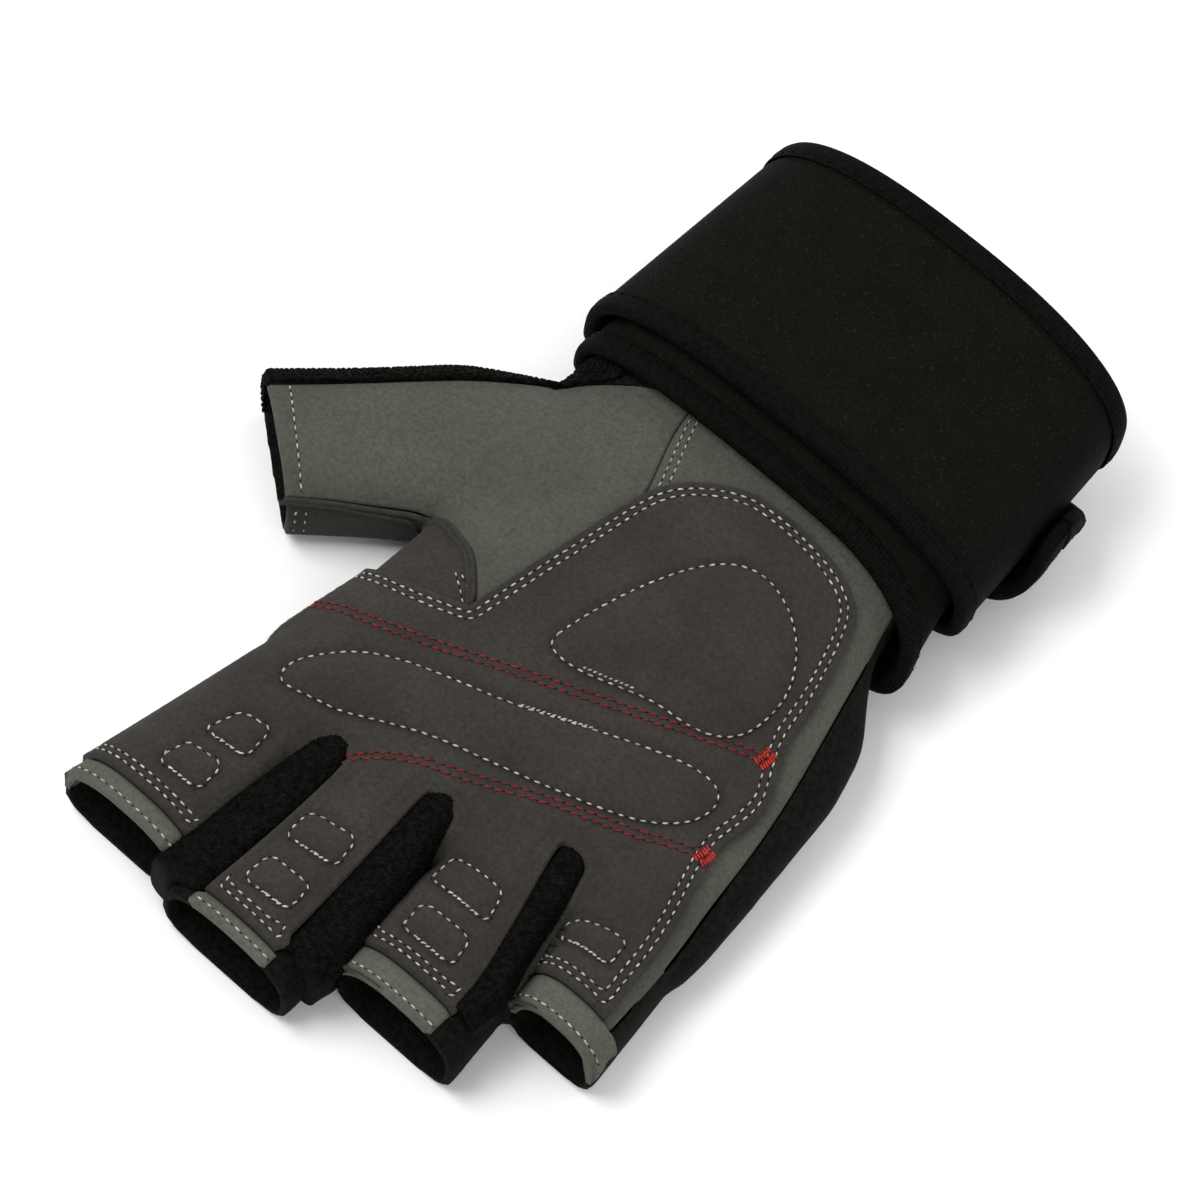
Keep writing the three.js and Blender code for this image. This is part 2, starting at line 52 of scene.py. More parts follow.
sight = Vector((
    math.sin(camera_azimuth) * math.cos(camera_elevation),
    -math.cos(camera_azimuth) * math.cos(camera_elevation),
    math.sin(camera_elevation),
))
level_right = Vector((math.cos(camera_azimuth), math.sin(camera_azimuth), 0))
level_up = sight.cross(level_right)
picture_right = math.cos(camera_roll) * level_right + math.sin(camera_roll) * level_up
picture_up = math.cos(camera_roll) * level_up - math.sin(camera_roll) * level_right
camera_data = bpy.data.cameras.new("picture_camera")
camera_data.lens = 145.8
camera_data.sensor_width = 36
camera_data.sensor_fit = "HORIZONTAL"
camera_data.clip_start = 0.05
camera = bpy.data.objects.new("picture_camera", camera_data)
scene.collection.objects.link(camera)
camera.matrix_world = Matrix((picture_right, picture_up, sight)).transposed().to_4x4()
camera.location = camera_target + camera_distance * sight
scene.camera = camera

floor_half = 3.0
floor_mesh = bpy.data.meshes.new("floor")
floor_mesh.from_pydata(
    [(x * floor_half, y * floor_half, 0) for x, y in ((-1, -1), (1, -1), (1, 1), (-1, 1))],
    [], [(0, 1, 2, 3)],
)
floor = bpy.data.objects.new("floor", floor_mesh)
scene.collection.objects.link(floor)
floor_material = bpy.data.materials.new("pale_floor")
floor_material.use_nodes = True
floor_shader = floor_material.node_tree.nodes["Principled BSDF"]
floor_shader.inputs["Base Color"].default_value = (0.9, 0.9, 0.9, 1)
floor_shader.inputs["Roughness"].default_value = 0.9
floor_mesh.materials.append(floor_material)

world = bpy.data.worlds.new("studio")
world.use_nodes = True
sky_light = world.node_tree.nodes["Background"]
sky_light.inputs["Color"].default_value = (1, 1, 1, 1)
sky_light.inputs["Strength"].default_value = 0.48
scene.world = world

# Columns: name, place in metres, width and height of the lamp, and its power in watts
for lamp_name, place, size, power in (
    ("key_lamp", (-0.55, -0.35, 1.05), (0.9, 0.7), 12.6),
    ("fill_lamp", (0.9, -0.6, 0.8), (0.9, 0.9), 5.2),
    ("back_lamp", (0.1, 1.1, 0.7), (1.1, 0.5), 6.2),
):
    lamp_data = bpy.data.lights.new(lamp_name, "AREA")
    lamp_data.shape = "RECTANGLE"
    lamp_data.size, lamp_data.size_y = size
    lamp_data.energy = power
    lamp = bpy.data.objects.new(lamp_name, lamp_data)
    lamp.location = place
    lamp.rotation_euler = (Vector(place) - Vector((0, 0, 0.02))).to_track_quat("Z", "Y").to_euler()
    scene.collection.objects.link(lamp)
scene.view_settings.view_transform = "Standard"

# The form under every panel: the hand that the glove is cut for, lying on its back.
# All lengths are millimetres from the middle of the palm, +Y to the wrist, -X to the thumb.
half_width = 50
reach = 100
palm_height = 25
finger_height = 16
finger_root_height = 0.76 * palm_height
thumb_height = 16
thumb_width = 33.5
thumb_length = 55
thumb_opening_slant = 0.12
wall = 1.4
crown_power = 0.82
base_power = 0.55
side_share = 0.42
palm_easing = 9
thumb_easing = 14
strip_easing = 5
base_press = 0.6
root_drop = 8
thumb_root_drop = 10
steepness = 6
far_below = 60
stall_gap = 0.15
finger_fillet = 4
finger_fillet_loss = 2.5
thumb_fillet = 4.5
# Columns: place along the hand, left side, right side, underside and crown
palm_stations = np.array([
    [0.54, -0.69, 0.86, 0.49, 0.93], [0.42, -0.69, 0.86, 0.49, 0.93],
    [0.34, -0.69, 0.87, 0.46, 0.93], [0.25, -0.70, 0.91, 0.36, 0.94],
    [0.19, -0.70, 0.99, 0.12, 0.94], [0.12, -0.69, 1.10, 0.0, 0.93],
    [0.0, -0.67, 1.17, 0.0, 0.90], [-0.14, -0.67, 1.20, 0.0, 0.86],
    [-0.28, -0.68, 1.23, 0.0, 0.80], [-0.40, -0.72, 1.25, 0.0, 0.74],
    [-0.48, -0.74, 1.25, 0.02, 0.71], [-0.57, -0.66, 1.17, 0.06, 0.62],
]) * (reach, half_width, half_width, palm_height, palm_height)
# Columns: left and right side at the root, the same at the opening, root and opening
finger_rows = {
    "index": (-0.62, -0.28, -0.86, -0.29, -0.24, -0.965),
    "middle": (-0.24, 0.26, -0.28, 0.34, -0.24, -1.01),
    "ring": (0.30, 0.76, 0.35, 0.93, -0.20, -0.90),
    "little": (0.72, 1.14, 0.885, 1.29, -0.14, -0.73),
}
thumb_root = np.array([-0.5 * half_width, 0.19 * reach])
thumb_out = np.array([-1, -1]) / math.sqrt(2)
thumb_across = np.array([1, -1]) / math.sqrt(2)
# Columns: distance from the root, width, crown share and shift across the thumb
thumb_stations = np.array([
    [-0.25, 0.64, 0.80, 0.10], [0.05, 0.92, 0.70, 0.02], [0.35, 1.04, 0.42, -0.06],
    [0.70, 0.97, 0.14, -0.08], [1.0, 0.96, 0.0, -0.085],
])
# The palm's end between the fingers: places across it, the same along it, and how it drops
palm_end_x = (-12, 10, 36)
palm_end_y = (-0.655, -0.61, -0.53)
palm_end_drop = 30
palm_end_run = 9
# Where the leather bridges the creases: how far, and the spans over which that sets in
bridge_reach = 3.2
bridge_y = -53
bridge_spans = {"along": (17, 7), "left": (-27, -19), "right": (52, 45)}


def eased(places, values, at, reach_of_easing):
    # A column of the table between its rows, with the corners at the rows rounded off
    order = np.argsort(places)
    fine = np.arange(places.min(), places.max() + 0.25, 0.5)
    line = np.interp(fine, places[order], values[order])
    count = max(3, int(reach_of_easing / 0.5) | 1)
    window = np.hanning(count + 2)[1:-1]
    padded_line = np.pad(line, count // 2, mode="edge")
    return np.interp(at, fine, np.convolve(padded_line, window / window.sum(), mode="valid"))


def ramp(value, start, end):
    share = np.clip((value - start) / (end - start), 0, 1)
    return share * share * (3 - 2 * share)


def crown_over(u, half, bottom, top):
    # Height of a tube that lies on a table, at u beside its middle line
    side = bottom + (top - bottom) * side_share
    ratio = np.abs(u) / np.maximum(half, 0.1)
    rise = np.sqrt(np.clip(1 - ratio ** (2 / crown_power), 0, 1)) ** crown_power
    return np.where(ratio < 1, side + (top - side) * rise, side - steepness * (ratio - 1) * half)


def joined(a, b, softness=2.2):
    # The higher of two forms, with a soft fillet where they meet
    meet = np.clip(1 - np.abs(a - b) / softness, 0, 1)
    return np.maximum(a, b) + softness / 4 * meet * meet


def finger_top(share):
    # Height of a finger stall from its root, tucked in under the palm, to its opening
    slope = (finger_height - finger_root_height) * ramp(share, -0.1, 0.95)
    return finger_root_height + slope - root_drop * (1 - ramp(share, 0.05, 0.45))


def palm_section(y):
    # Left side, right side, underside and crown of the palm at a place along the hand
    return [eased(palm_stations[:, 0], palm_stations[:, k], y, palm_easing) for k in (1, 2, 3, 4)]


def thumb_section(along):
    # Width, crown and shift of the thumb at a share of its length
    places = thumb_stations[:, 0] * thumb_length
    return [eased(places, thumb_stations[:, k], along * thumb_length, thumb_easing) for k in (1, 2, 3)]


def sharp_height(x, y):
    left, right, under, crown = palm_section(y)
    form = crown_over(x - (left + right) / 2, (right - left) / 2, under, crown)
    palm_end = np.interp(x, palm_end_x, palm_end_y) * reach
    form = form - palm_end_drop * ramp(palm_end - y, 0, palm_end_run)
    for root_left, root_right, end_left, end_right, root, end in finger_rows.values():
        share = (y - root * reach) / ((end - root) * reach)
        low = (root_left + (end_left - root_left) * share) * half_width
        high = (root_right + (end_right - root_right) * share) * half_width
        finger = crown_over(x - (low + high) / 2, (high - low) / 2 - stall_gap, 0, finger_top(share))
        finger = finger - far_below * (share < -0.02)
        form = joined(form, finger, finger_fillet - finger_fillet_loss * ramp(share, 0.5, 0.75))
    along = ((x - thumb_root[0]) * thumb_out[0] + (y - thumb_root[1]) * thumb_out[1]) / thumb_length
    aside = (x - thumb_root[0]) * thumb_across[0] + (y - thumb_root[1]) * thumb_across[1]
    width, crown, shift = thumb_section(along)
    top = thumb_height + (palm_height - thumb_height) * crown
    thumb = crown_over(aside - shift * thumb_width, width * thumb_width / 2, 0, top)
    thumb = thumb - thumb_root_drop * (1 - ramp(along, -0.22, 0.08)) - far_below * (along < -0.24)
    return joined(form, thumb, thumb_fillet)


def hand_height(x, y):
    # The leather bridges the narrow creases between the finger roots
    x, y = np.asarray(x, float), np.asarray(y, float)
    spread = bridge_reach * ramp(np.abs(y - bridge_y), *bridge_spans["along"])
    spread = spread * ramp(x, *bridge_spans["left"]) * ramp(x, *bridge_spans["right"])
    height = np.atleast_1d(sharp_height(x, y))
    near = np.atleast_1d(spread) > 0.02
    if near.any():
        x_near, y_near, reach_out = (np.atleast_1d(value)[near] for value in (x, y, spread))
        total = height[near]
        rings, spokes = (0.5, 1.0), 6
        for ring in rings:
            for k in range(spokes):
                angle = (k + ring) * 2 * math.pi / spokes
                total = total + sharp_height(x_near + reach_out * ring * math.cos(angle),
                                             y_near + reach_out * ring * math.sin(angle))
        height[near] = total / (1 + len(rings) * spokes)
    return height


def hand_skin(x, y):
    # Points and outward directions of the form over places in plan
    step = 0.15
    z = hand_height(x, y)
    slope_x = (hand_height(x + step, y) - hand_height(x - step, y)) / (2 * step)
    slope_y = (hand_height(x, y + step) - hand_height(x, y - step)) / (2 * step)
    out = np.stack([-slope_x, -slope_y, np.ones_like(z)], 1)
    out /= np.linalg.norm(out, axis=1)[:, None]
    return np.stack([x, y, z], 1), out


# Black stretch fabric: the back of the hand, the side strip on the little-finger side and
# the backs of the thumb and fingers. One tube of fabric, cut where the leather of the palm
# side is sewn on, with flat seams across the finger roots.
gap = 0.3
fold_share = 0.36
fold_overlap = 0.5
fold_search = 1.6
fold_facing = (0.97, 0.24)
voxel = 1.1
fine_voxel = 0.8
hollow_overrun = 2
back_nodes = ("back_panel", "back_thumb", "back_index", "back_middle", "back_ring", "back_little")


def in_frame(points):
    return (np.asarray(points, float) + np.array(hand_origin)) * mm


def tube_ring(centre, across, half, bottom, top, sides):
    angle = np.arange(sides) * 2 * math.pi / sides
    side = bottom + (top - bottom) * side_share
    c, s = np.cos(angle), np.sin(angle)
    u = half * np.sign(c) * np.abs(c) ** crown_power
    rise = np.where(s >= 0, (top - side) * np.abs(s) ** crown_power,
                    (bottom - base_press - side) * np.abs(s) ** base_power)
    z = np.maximum(bottom, side + rise)
    return np.stack([centre[0] + across[0] * u, centre[1] + across[1] * u, z], 1)


def tube_mesh(rings):
    # Points and faces of a closed tube through rings of points
    count = len(rings[0])
    faces = []
    for r in range(len(rings) - 1):
        for k in range(count):
            a, b = r * count + k, r * count + (k + 1) % count
            faces.append((a, b, b + count, a + count))
    faces.append(tuple(range(count))[::-1])
    faces.append(tuple((len(rings) - 1) * count + k for k in range(count)))
    return np.concatenate(rings), faces


def new_object(name, points, faces):
    # Points in millimetres of the hand, placed in the frame
    mesh = bpy.data.meshes.new(name)
    mesh.from_pydata(in_frame(points).tolist(), [], faces)
    mesh.validate()
    piece = bpy.data.objects.new(name, mesh)
    scene.collection.objects.link(piece)
    return piece


def recalculated(piece):
    work = bmesh.new()
    work.from_mesh(piece.data)
    bmesh.ops.recalc_face_normals(work, faces=work.faces)
    work.to_mesh(piece.data)
    work.free()
    return piece


def settled(piece):
    # The piece with its modifiers made real
    graph = bpy.context.evaluated_depsgraph_get()
    real = bpy.data.meshes.new_from_object(piece.evaluated_get(graph))
    piece.modifiers.clear()
    old = piece.data
    piece.data = real
    bpy.data.meshes.remove(old)
    return piece


def hand_form(name, offset, overrun, voxel_size):
    # The whole hand as one closed form, at a distance outside or inside the fabric
    lift = max(0, -offset)
    parts = []
    fine_y = np.linspace(palm_stations[0, 0] + overrun, palm_stations[-1, 0] - lift, 90)
    rings = []
    for y in fine_y:
        left, right, under, crown = map(float, palm_section(y))
        low, high = left - offset, right + offset
        centre = ((low + high) / 2, y)
        rings.append(tube_ring(centre, (1, 0), (high - low) / 2, under + lift, crown + offset, 96))
    parts.append(tube_mesh(rings))
    for root_left, root_right, end_left, end_right, root, end in finger_rows.values():
        rings = []
        for share in np.linspace(0, 1, 40):
            low = (root_left + (end_left - root_left) * share) * half_width - offset
            high = (root_right + (end_right - root_right) * share) * half_width + offset
            y = (root + (end - root) * share) * reach - (overrun if share == 1 else 0)
            top = float(finger_top(share)) + offset
            centre = ((low + high) / 2, y)
            rings.append(tube_ring(centre, (1, 0), (high - low) / 2 - stall_gap, lift, top, 64))
        parts.append(tube_mesh(rings))
    rings = []
    for along in np.linspace(-0.25, 1, 50):
        width, crown, shift = map(float, thumb_section(along))
        past = overrun if along == 1 else 0
        centre = thumb_root + thumb_out * (along * thumb_length + past) + thumb_across * shift * thumb_width
        across = thumb_across - thumb_out * thumb_opening_slant * ramp(along, 0.6, 1)
        across = across / np.linalg.norm(across)
        top = thumb_height + (palm_height - thumb_height) * crown + offset
        rings.append(tube_ring(centre, across, width * thumb_width / 2 + offset, lift, top, 72))
    parts.append(tube_mesh(rings))
    points, faces, start = [], [], 0
    for part_points, part_faces in parts:
        points.append(part_points)
        faces += [tuple(start + k for k in face) for face in part_faces]
        start += len(part_points)
    form = recalculated(new_object(name, np.concatenate(points), faces))
    remesh = form.modifiers.new("one_form", "REMESH")
    remesh.mode = "VOXEL"
    remesh.voxel_size = voxel_size * mm
    soften = form.modifiers.new("soften", "SMOOTH")
    soften.factor = 0.5
    soften.iterations = 3
    return settled(form)


def rounded_loop(rows, rounds=3, cut=0.25, longest=0.9):
    # A closed outline with its corners eased; a point written twice stays a corner
    loop = np.array(rows, float)
    for _ in range(rounds):
        after = np.roll(loop, -1, axis=0)
        loop = np.stack([loop * (1 - cut) + after * cut, loop * cut + after * (1 - cut)], 1).reshape(-1, 2)
    kept = [loop[0]]
    for point in loop[1:]:
        if np.linalg.norm(point - kept[-1]) > 0.3 * longest:
            kept.append(point)
    fine = []
    for here, after in zip(kept, kept[1:] + kept[:1]):
        count = max(1, int(math.ceil(np.linalg.norm(after - here) / longest)))
        fine += [here + (after - here) * k / count for k in range(count)]
    return np.array(fine)


def on_hand(rows):
    return [(x * half_width, y * reach) for x, y in rows]


def on_thumb(rows):
    return [tuple(thumb_root + thumb_out * out * thumb_length + thumb_across * aside * thumb_width)
            for out, aside in rows]


def prism(name, loop, low, high):
    count = len(loop)
    points = [(x, y, low) for x, y in loop] + [(x, y, high) for x, y in loop]
    faces = [tuple(range(count))[::-1], tuple(range(count, 2 * count))]
    faces += [(k, (k + 1) % count, count + (k + 1) % count, count + k) for k in range(count)]
    return recalculated(new_object(name, points, faces))


def cut_with(piece, tool, operation):
    modifier = piece.modifiers.new("cut", "BOOLEAN")
    modifier.object = tool
    modifier.operation = operation
    modifier.solver = "MANIFOLD"
    settled(piece)
    bpy.data.objects.remove(tool)


def put_on(piece, *materials):
    piece.data.materials.clear()
    for material in materials:
        piece.data.materials.append(material)


# The lines where the panels of the palm side end, as shares of half width and reach, or of
# the thumb's length and width
opening_slant = thumb_opening_slant * thumb_width / thumb_length
thumb_fold = on_thumb([
    (1 - opening_slant * 0.325, 0.325), (1 - opening_slant * 0.325, 0.325), (0.82, 0.34), (0.62, 0.38),
    (0.50, 0.41), (0.44, 0.47), (0.40, 0.64), (0.36, 0.77),
])
thumb_panel_loop = rounded_loop(
    on_thumb([(1 + opening_slant * 0.41, -0.41), (1 + opening_slant * 0.41, -0.41), (0.50, -0.425),
              (0.10, -0.385), (-0.22, -0.33)])
    + on_hand([(-0.27, 0.42), (-0.235, 0.32), (-0.155, 0.22), (-0.105, 0.15), (-0.13, 0.06), (-0.15, -0.03),
               (-0.18, -0.12), (-0.215, -0.225), (-0.235, -0.235), (-0.285, -0.20)])
    + thumb_fold[::-1])
thumb_knit_loop = rounded_loop(on_thumb([
    (1.2, -0.415), (0.50, -0.43), (0.10, -0.39), (-0.22, -0.335), (-0.22, -0.80), (1.2, -0.80),
]))
gusset_loop = rounded_loop(
    on_thumb([(1.2, 0.325), (1.2, 0.325)]) + thumb_fold[2:]
    + on_hand([(-0.27, -0.17), (-0.19, -0.19), (-0.20, -0.255), (-0.40, -0.275), (-0.60, -0.29),
               (-0.80, -0.33), (-1.0, -0.50)]) + on_thumb([(1.2, 0.7)]))
palm_base_loop = rounded_loop(on_hand([
    (-0.30, 0.56), (0.80, 0.56), (0.84, 0.34), (0.92, 0.21), (1.0, 0.06), (1.07, -0.07), (1.12, -0.20),
    (1.15, -0.32), (1.20, -0.47), (1.23, -0.66), (1.24, -0.73), (0.84, -0.73), (0.81, -0.79), (0.79, -0.90),
    (0.38, -0.90), (0.30, -0.92), (0.195, -0.96), (0.195, -1.01), (-0.16, -1.01), (-0.145, -0.96),
    (-0.25, -0.95), (-0.355, -0.965), (-1.1, -0.965), (-1.1, -0.285),
    (-0.62, -0.285), (-0.42, -0.27), (-0.24, -0.25), (-0.19, -0.22), (-0.19, -0.17), (-0.20, 0.14),
    (-0.30, 0.30),
]))
# Columns: place along the hand, left and right side of the knit strip
knit_rows = {
    "finger_knit_1": [(-0.605, -0.265, -0.16), (-0.62, -0.285, -0.135), (-0.80, -0.33, -0.13),
                      (-0.97, -0.355, -0.14), (-0.985, -0.355, -0.14)],
    "finger_knit_2": [(-0.555, 0.16, 0.265), (-0.57, 0.145, 0.285), (-0.74, 0.17, 0.34),
                      (-0.90, 0.19, 0.385), (-0.955, 0.195, 0.36)],
    "finger_knit_3": [(-0.465, 0.64, 0.735), (-0.48, 0.625, 0.765), (-0.62, 0.71, 0.81),
                      (-0.76, 0.78, 0.88), (-0.83, 0.79, 0.87)],
}
knit_loops = {
    name: rounded_loop(on_hand([(left, y) for y, left, _ in rows]
                               + [(right, y) for y, _, right in rows[::-1]]))
    for name, rows in knit_rows.items()
}
sky = 70
far_aside = 200
past_fingers = -130


def palm_side_cutter(name, loop):
    # A prism over the outline, kept above the fold where the palm side meets the back
    cutter = prism(name, loop, -5, sky)
    first, last = palm_stations[0, 0], palm_stations[-1, 0]
    places = [first + 30, *np.linspace(first, last, 40), past_fingers]
    points = []
    for y in places:
        under, crown = (0, finger_height) if y == past_fingers else map(float, palm_section(y)[2:])
        fold = under + (crown - under) * fold_share - gap
        points += [(-far_aside, y, -sky), (far_aside, y, -sky), (far_aside, y, fold), (-far_aside, y, fold)]
    faces = [(4 * k + a, 4 * k + b, 4 * k + b + 4, 4 * k + a + 4) for k in range(len(places) - 1)
             for a, b in ((0, 1), (1, 2), (2, 3), (3, 0))]
    end = 4 * (len(places) - 1)
    faces += [(3, 2, 1, 0), (end, end + 1, end + 2, end + 3)]
    cut_with(cutter, recalculated(new_object("under_fold", points, faces)), "DIFFERENCE")
    return cutter


back_fabric = hand_form("back_fabric", 0, 0, voxel)
cut_with(back_fabric, hand_form("hand_hollow", -wall, hollow_overrun, voxel), "DIFFERENCE")
knit_floor = 0.10 * palm_height
for cutter_name, loop in (("thumb_panel_room", thumb_panel_loop), ("palm_base_room", palm_base_loop)):
    cut_with(back_fabric, palm_side_cutter(cutter_name, loop), "DIFFERENCE")
for cutter_name, loop in (("thumb_knit_room", thumb_knit_loop), ("gusset_room", gusset_loop)):
    cut_with(back_fabric, prism(cutter_name, loop, knit_floor, sky), "DIFFERENCE")
for knit_name, loop in knit_loops.items():
    cut_with(back_fabric, prism(knit_name + "_room", loop, knit_floor, sky), "DIFFERENCE")
back_fabric.data.shade_smooth()


def place_node(tree, kind, inputs=(), **settings):
    # A node with its settings made, and its inputs set or linked by name or number
    node = tree.nodes.new(kind)
    for key, value in settings.items():
        setattr(node, key, value)
    for key, value in dict(inputs).items():
        if isinstance(value, bpy.types.NodeSocket):
            tree.links.new(value, node.inputs[key])
        else:
            node.inputs[key].default_value = value
    return node.outputs


def mix_colour(tree, share, first, second):
    return place_node(tree, "ShaderNodeMix", {0: share, 6: first, 7: second}, data_type="RGBA")[2]


def calculate(tree, operation, *values):
    return place_node(tree, "ShaderNodeMath", enumerate(values), operation=operation)[0]


def noise_field(tree, place, scale, detail=3, roughness=0.55, low=0.0, high=1.0):
    # Noise over the object, stretched so that the shares low to high fill the range
    noise = place_node(tree, "ShaderNodeTexNoise",
                       {"Scale": scale, "Detail": detail, "Roughness": roughness, "Vector": place})[0]
    if (low, high) == (0.0, 1.0):
        return noise
    return place_node(tree, "ShaderNodeMapRange", {"From Min": low, "From Max": high, "Value": noise})[0]


def new_group(name, inputs, outputs, kind="ShaderNodeTree"):
    tree = bpy.data.node_groups.new(name, kind)
    for socket_name, socket_kind, value in inputs:
        socket = tree.interface.new_socket(socket_name, in_out="INPUT", socket_type=socket_kind)
        if value is not None:
            socket.default_value = value
    for socket_name, socket_kind in outputs:
        tree.interface.new_socket(socket_name, in_out="OUTPUT", socket_type=socket_kind)
    return tree, tree.nodes.new("NodeGroupInput").outputs, tree.nodes.new("NodeGroupOutput").inputs


def use_group(tree, group, **values):
    inputs = {key.replace("_", " ").capitalize(): value for key, value in values.items()}
    return place_node(tree, "ShaderNodeGroup", inputs, node_tree=group)


def finish_material(name, roughness, sheen=0.0, sheen_tint=(1, 1, 1, 1), specular=0.5):
    # A material with its shader set, and the place over the object that its patterns read
    material = bpy.data.materials.new(name)
    material.use_nodes = True
    tree = material.node_tree
    shader = tree.nodes["Principled BSDF"]
    shader.inputs["Roughness"].default_value = roughness
    shader.inputs["Sheen Weight"].default_value = sheen
    shader.inputs["Sheen Roughness"].default_value = 0.45
    shader.inputs["Sheen Tint"].default_value = sheen_tint
    shader.inputs["Specular IOR Level"].default_value = specular
    place = tree.nodes.new("ShaderNodeTexCoord").outputs["Object"]
    return material, tree, shader, place


def bumped(tree, shader, height, distance):
    normal = place_node(tree, "ShaderNodeBump", {"Distance": distance, "Height": height, "Strength": 1.0})[0]
    tree.links.new(normal, shader.inputs["Normal"])


def coloured(tree, shader, share, first, second):
    tree.links.new(mix_colour(tree, share, first, second), shader.inputs["Base Color"])


# Fine knit: two crossing sets of short waves, with a soft mottle over them
knit_group, given, put = new_group(
    "fine_knit", [("Place", "NodeSocketVector", None), ("Loops per metre", "NodeSocketFloat", 1100.0)],
    [("Height", "NodeSocketFloat"), ("Mottle", "NodeSocketFloat")])
across, along, up = place_node(knit_group, "ShaderNodeSeparateXYZ", {0: given["Place"]})
turns = calculate(knit_group, "MULTIPLY", given["Loops per metre"], 2 * math.pi)
one_way = calculate(knit_group, "ADD", across, along)
other_way = calculate(knit_group, "SUBTRACT", across, calculate(knit_group, "ADD", along, up))
courses, wales = (calculate(knit_group, "SINE", calculate(knit_group, "MULTIPLY", way, turns))
                  for way in (one_way, other_way))
knit_group.links.new(calculate(knit_group, "MULTIPLY", courses, wales), put["Height"])
knit_group.links.new(noise_field(knit_group, given["Place"], 160, 4, 0.6, 0.35, 0.65), put["Mottle"])

stretch_material, tree, shader, place = finish_material("stretch_knit", 0.85, 0.0, (0.5, 0.5, 0.5, 1), 0.08)
coloured(tree, shader, noise_field(tree, place, 900, 3, 0.6, 0.35, 0.7),
         (0.0014, 0.0014, 0.0010, 1), (0.0078, 0.0074, 0.0060, 1))
bumped(tree, shader, noise_field(tree, place, 1300, 3, 0.7), 0.0005)
put_on(back_fabric, stretch_material)
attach(back_fabric, "root")
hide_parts(*back_nodes)


# Light grey-green suede leather: the base under the palm with the four hems, and the panel
# over the ball and front of the thumb. Each is cut flat, turned in at its edge and sewn.
def tree_of(points):
    # A search tree over points
    tree = KDTree(len(points))
    for k, point in enumerate(points):
        tree.insert(point, k)
    tree.balance()
    return tree


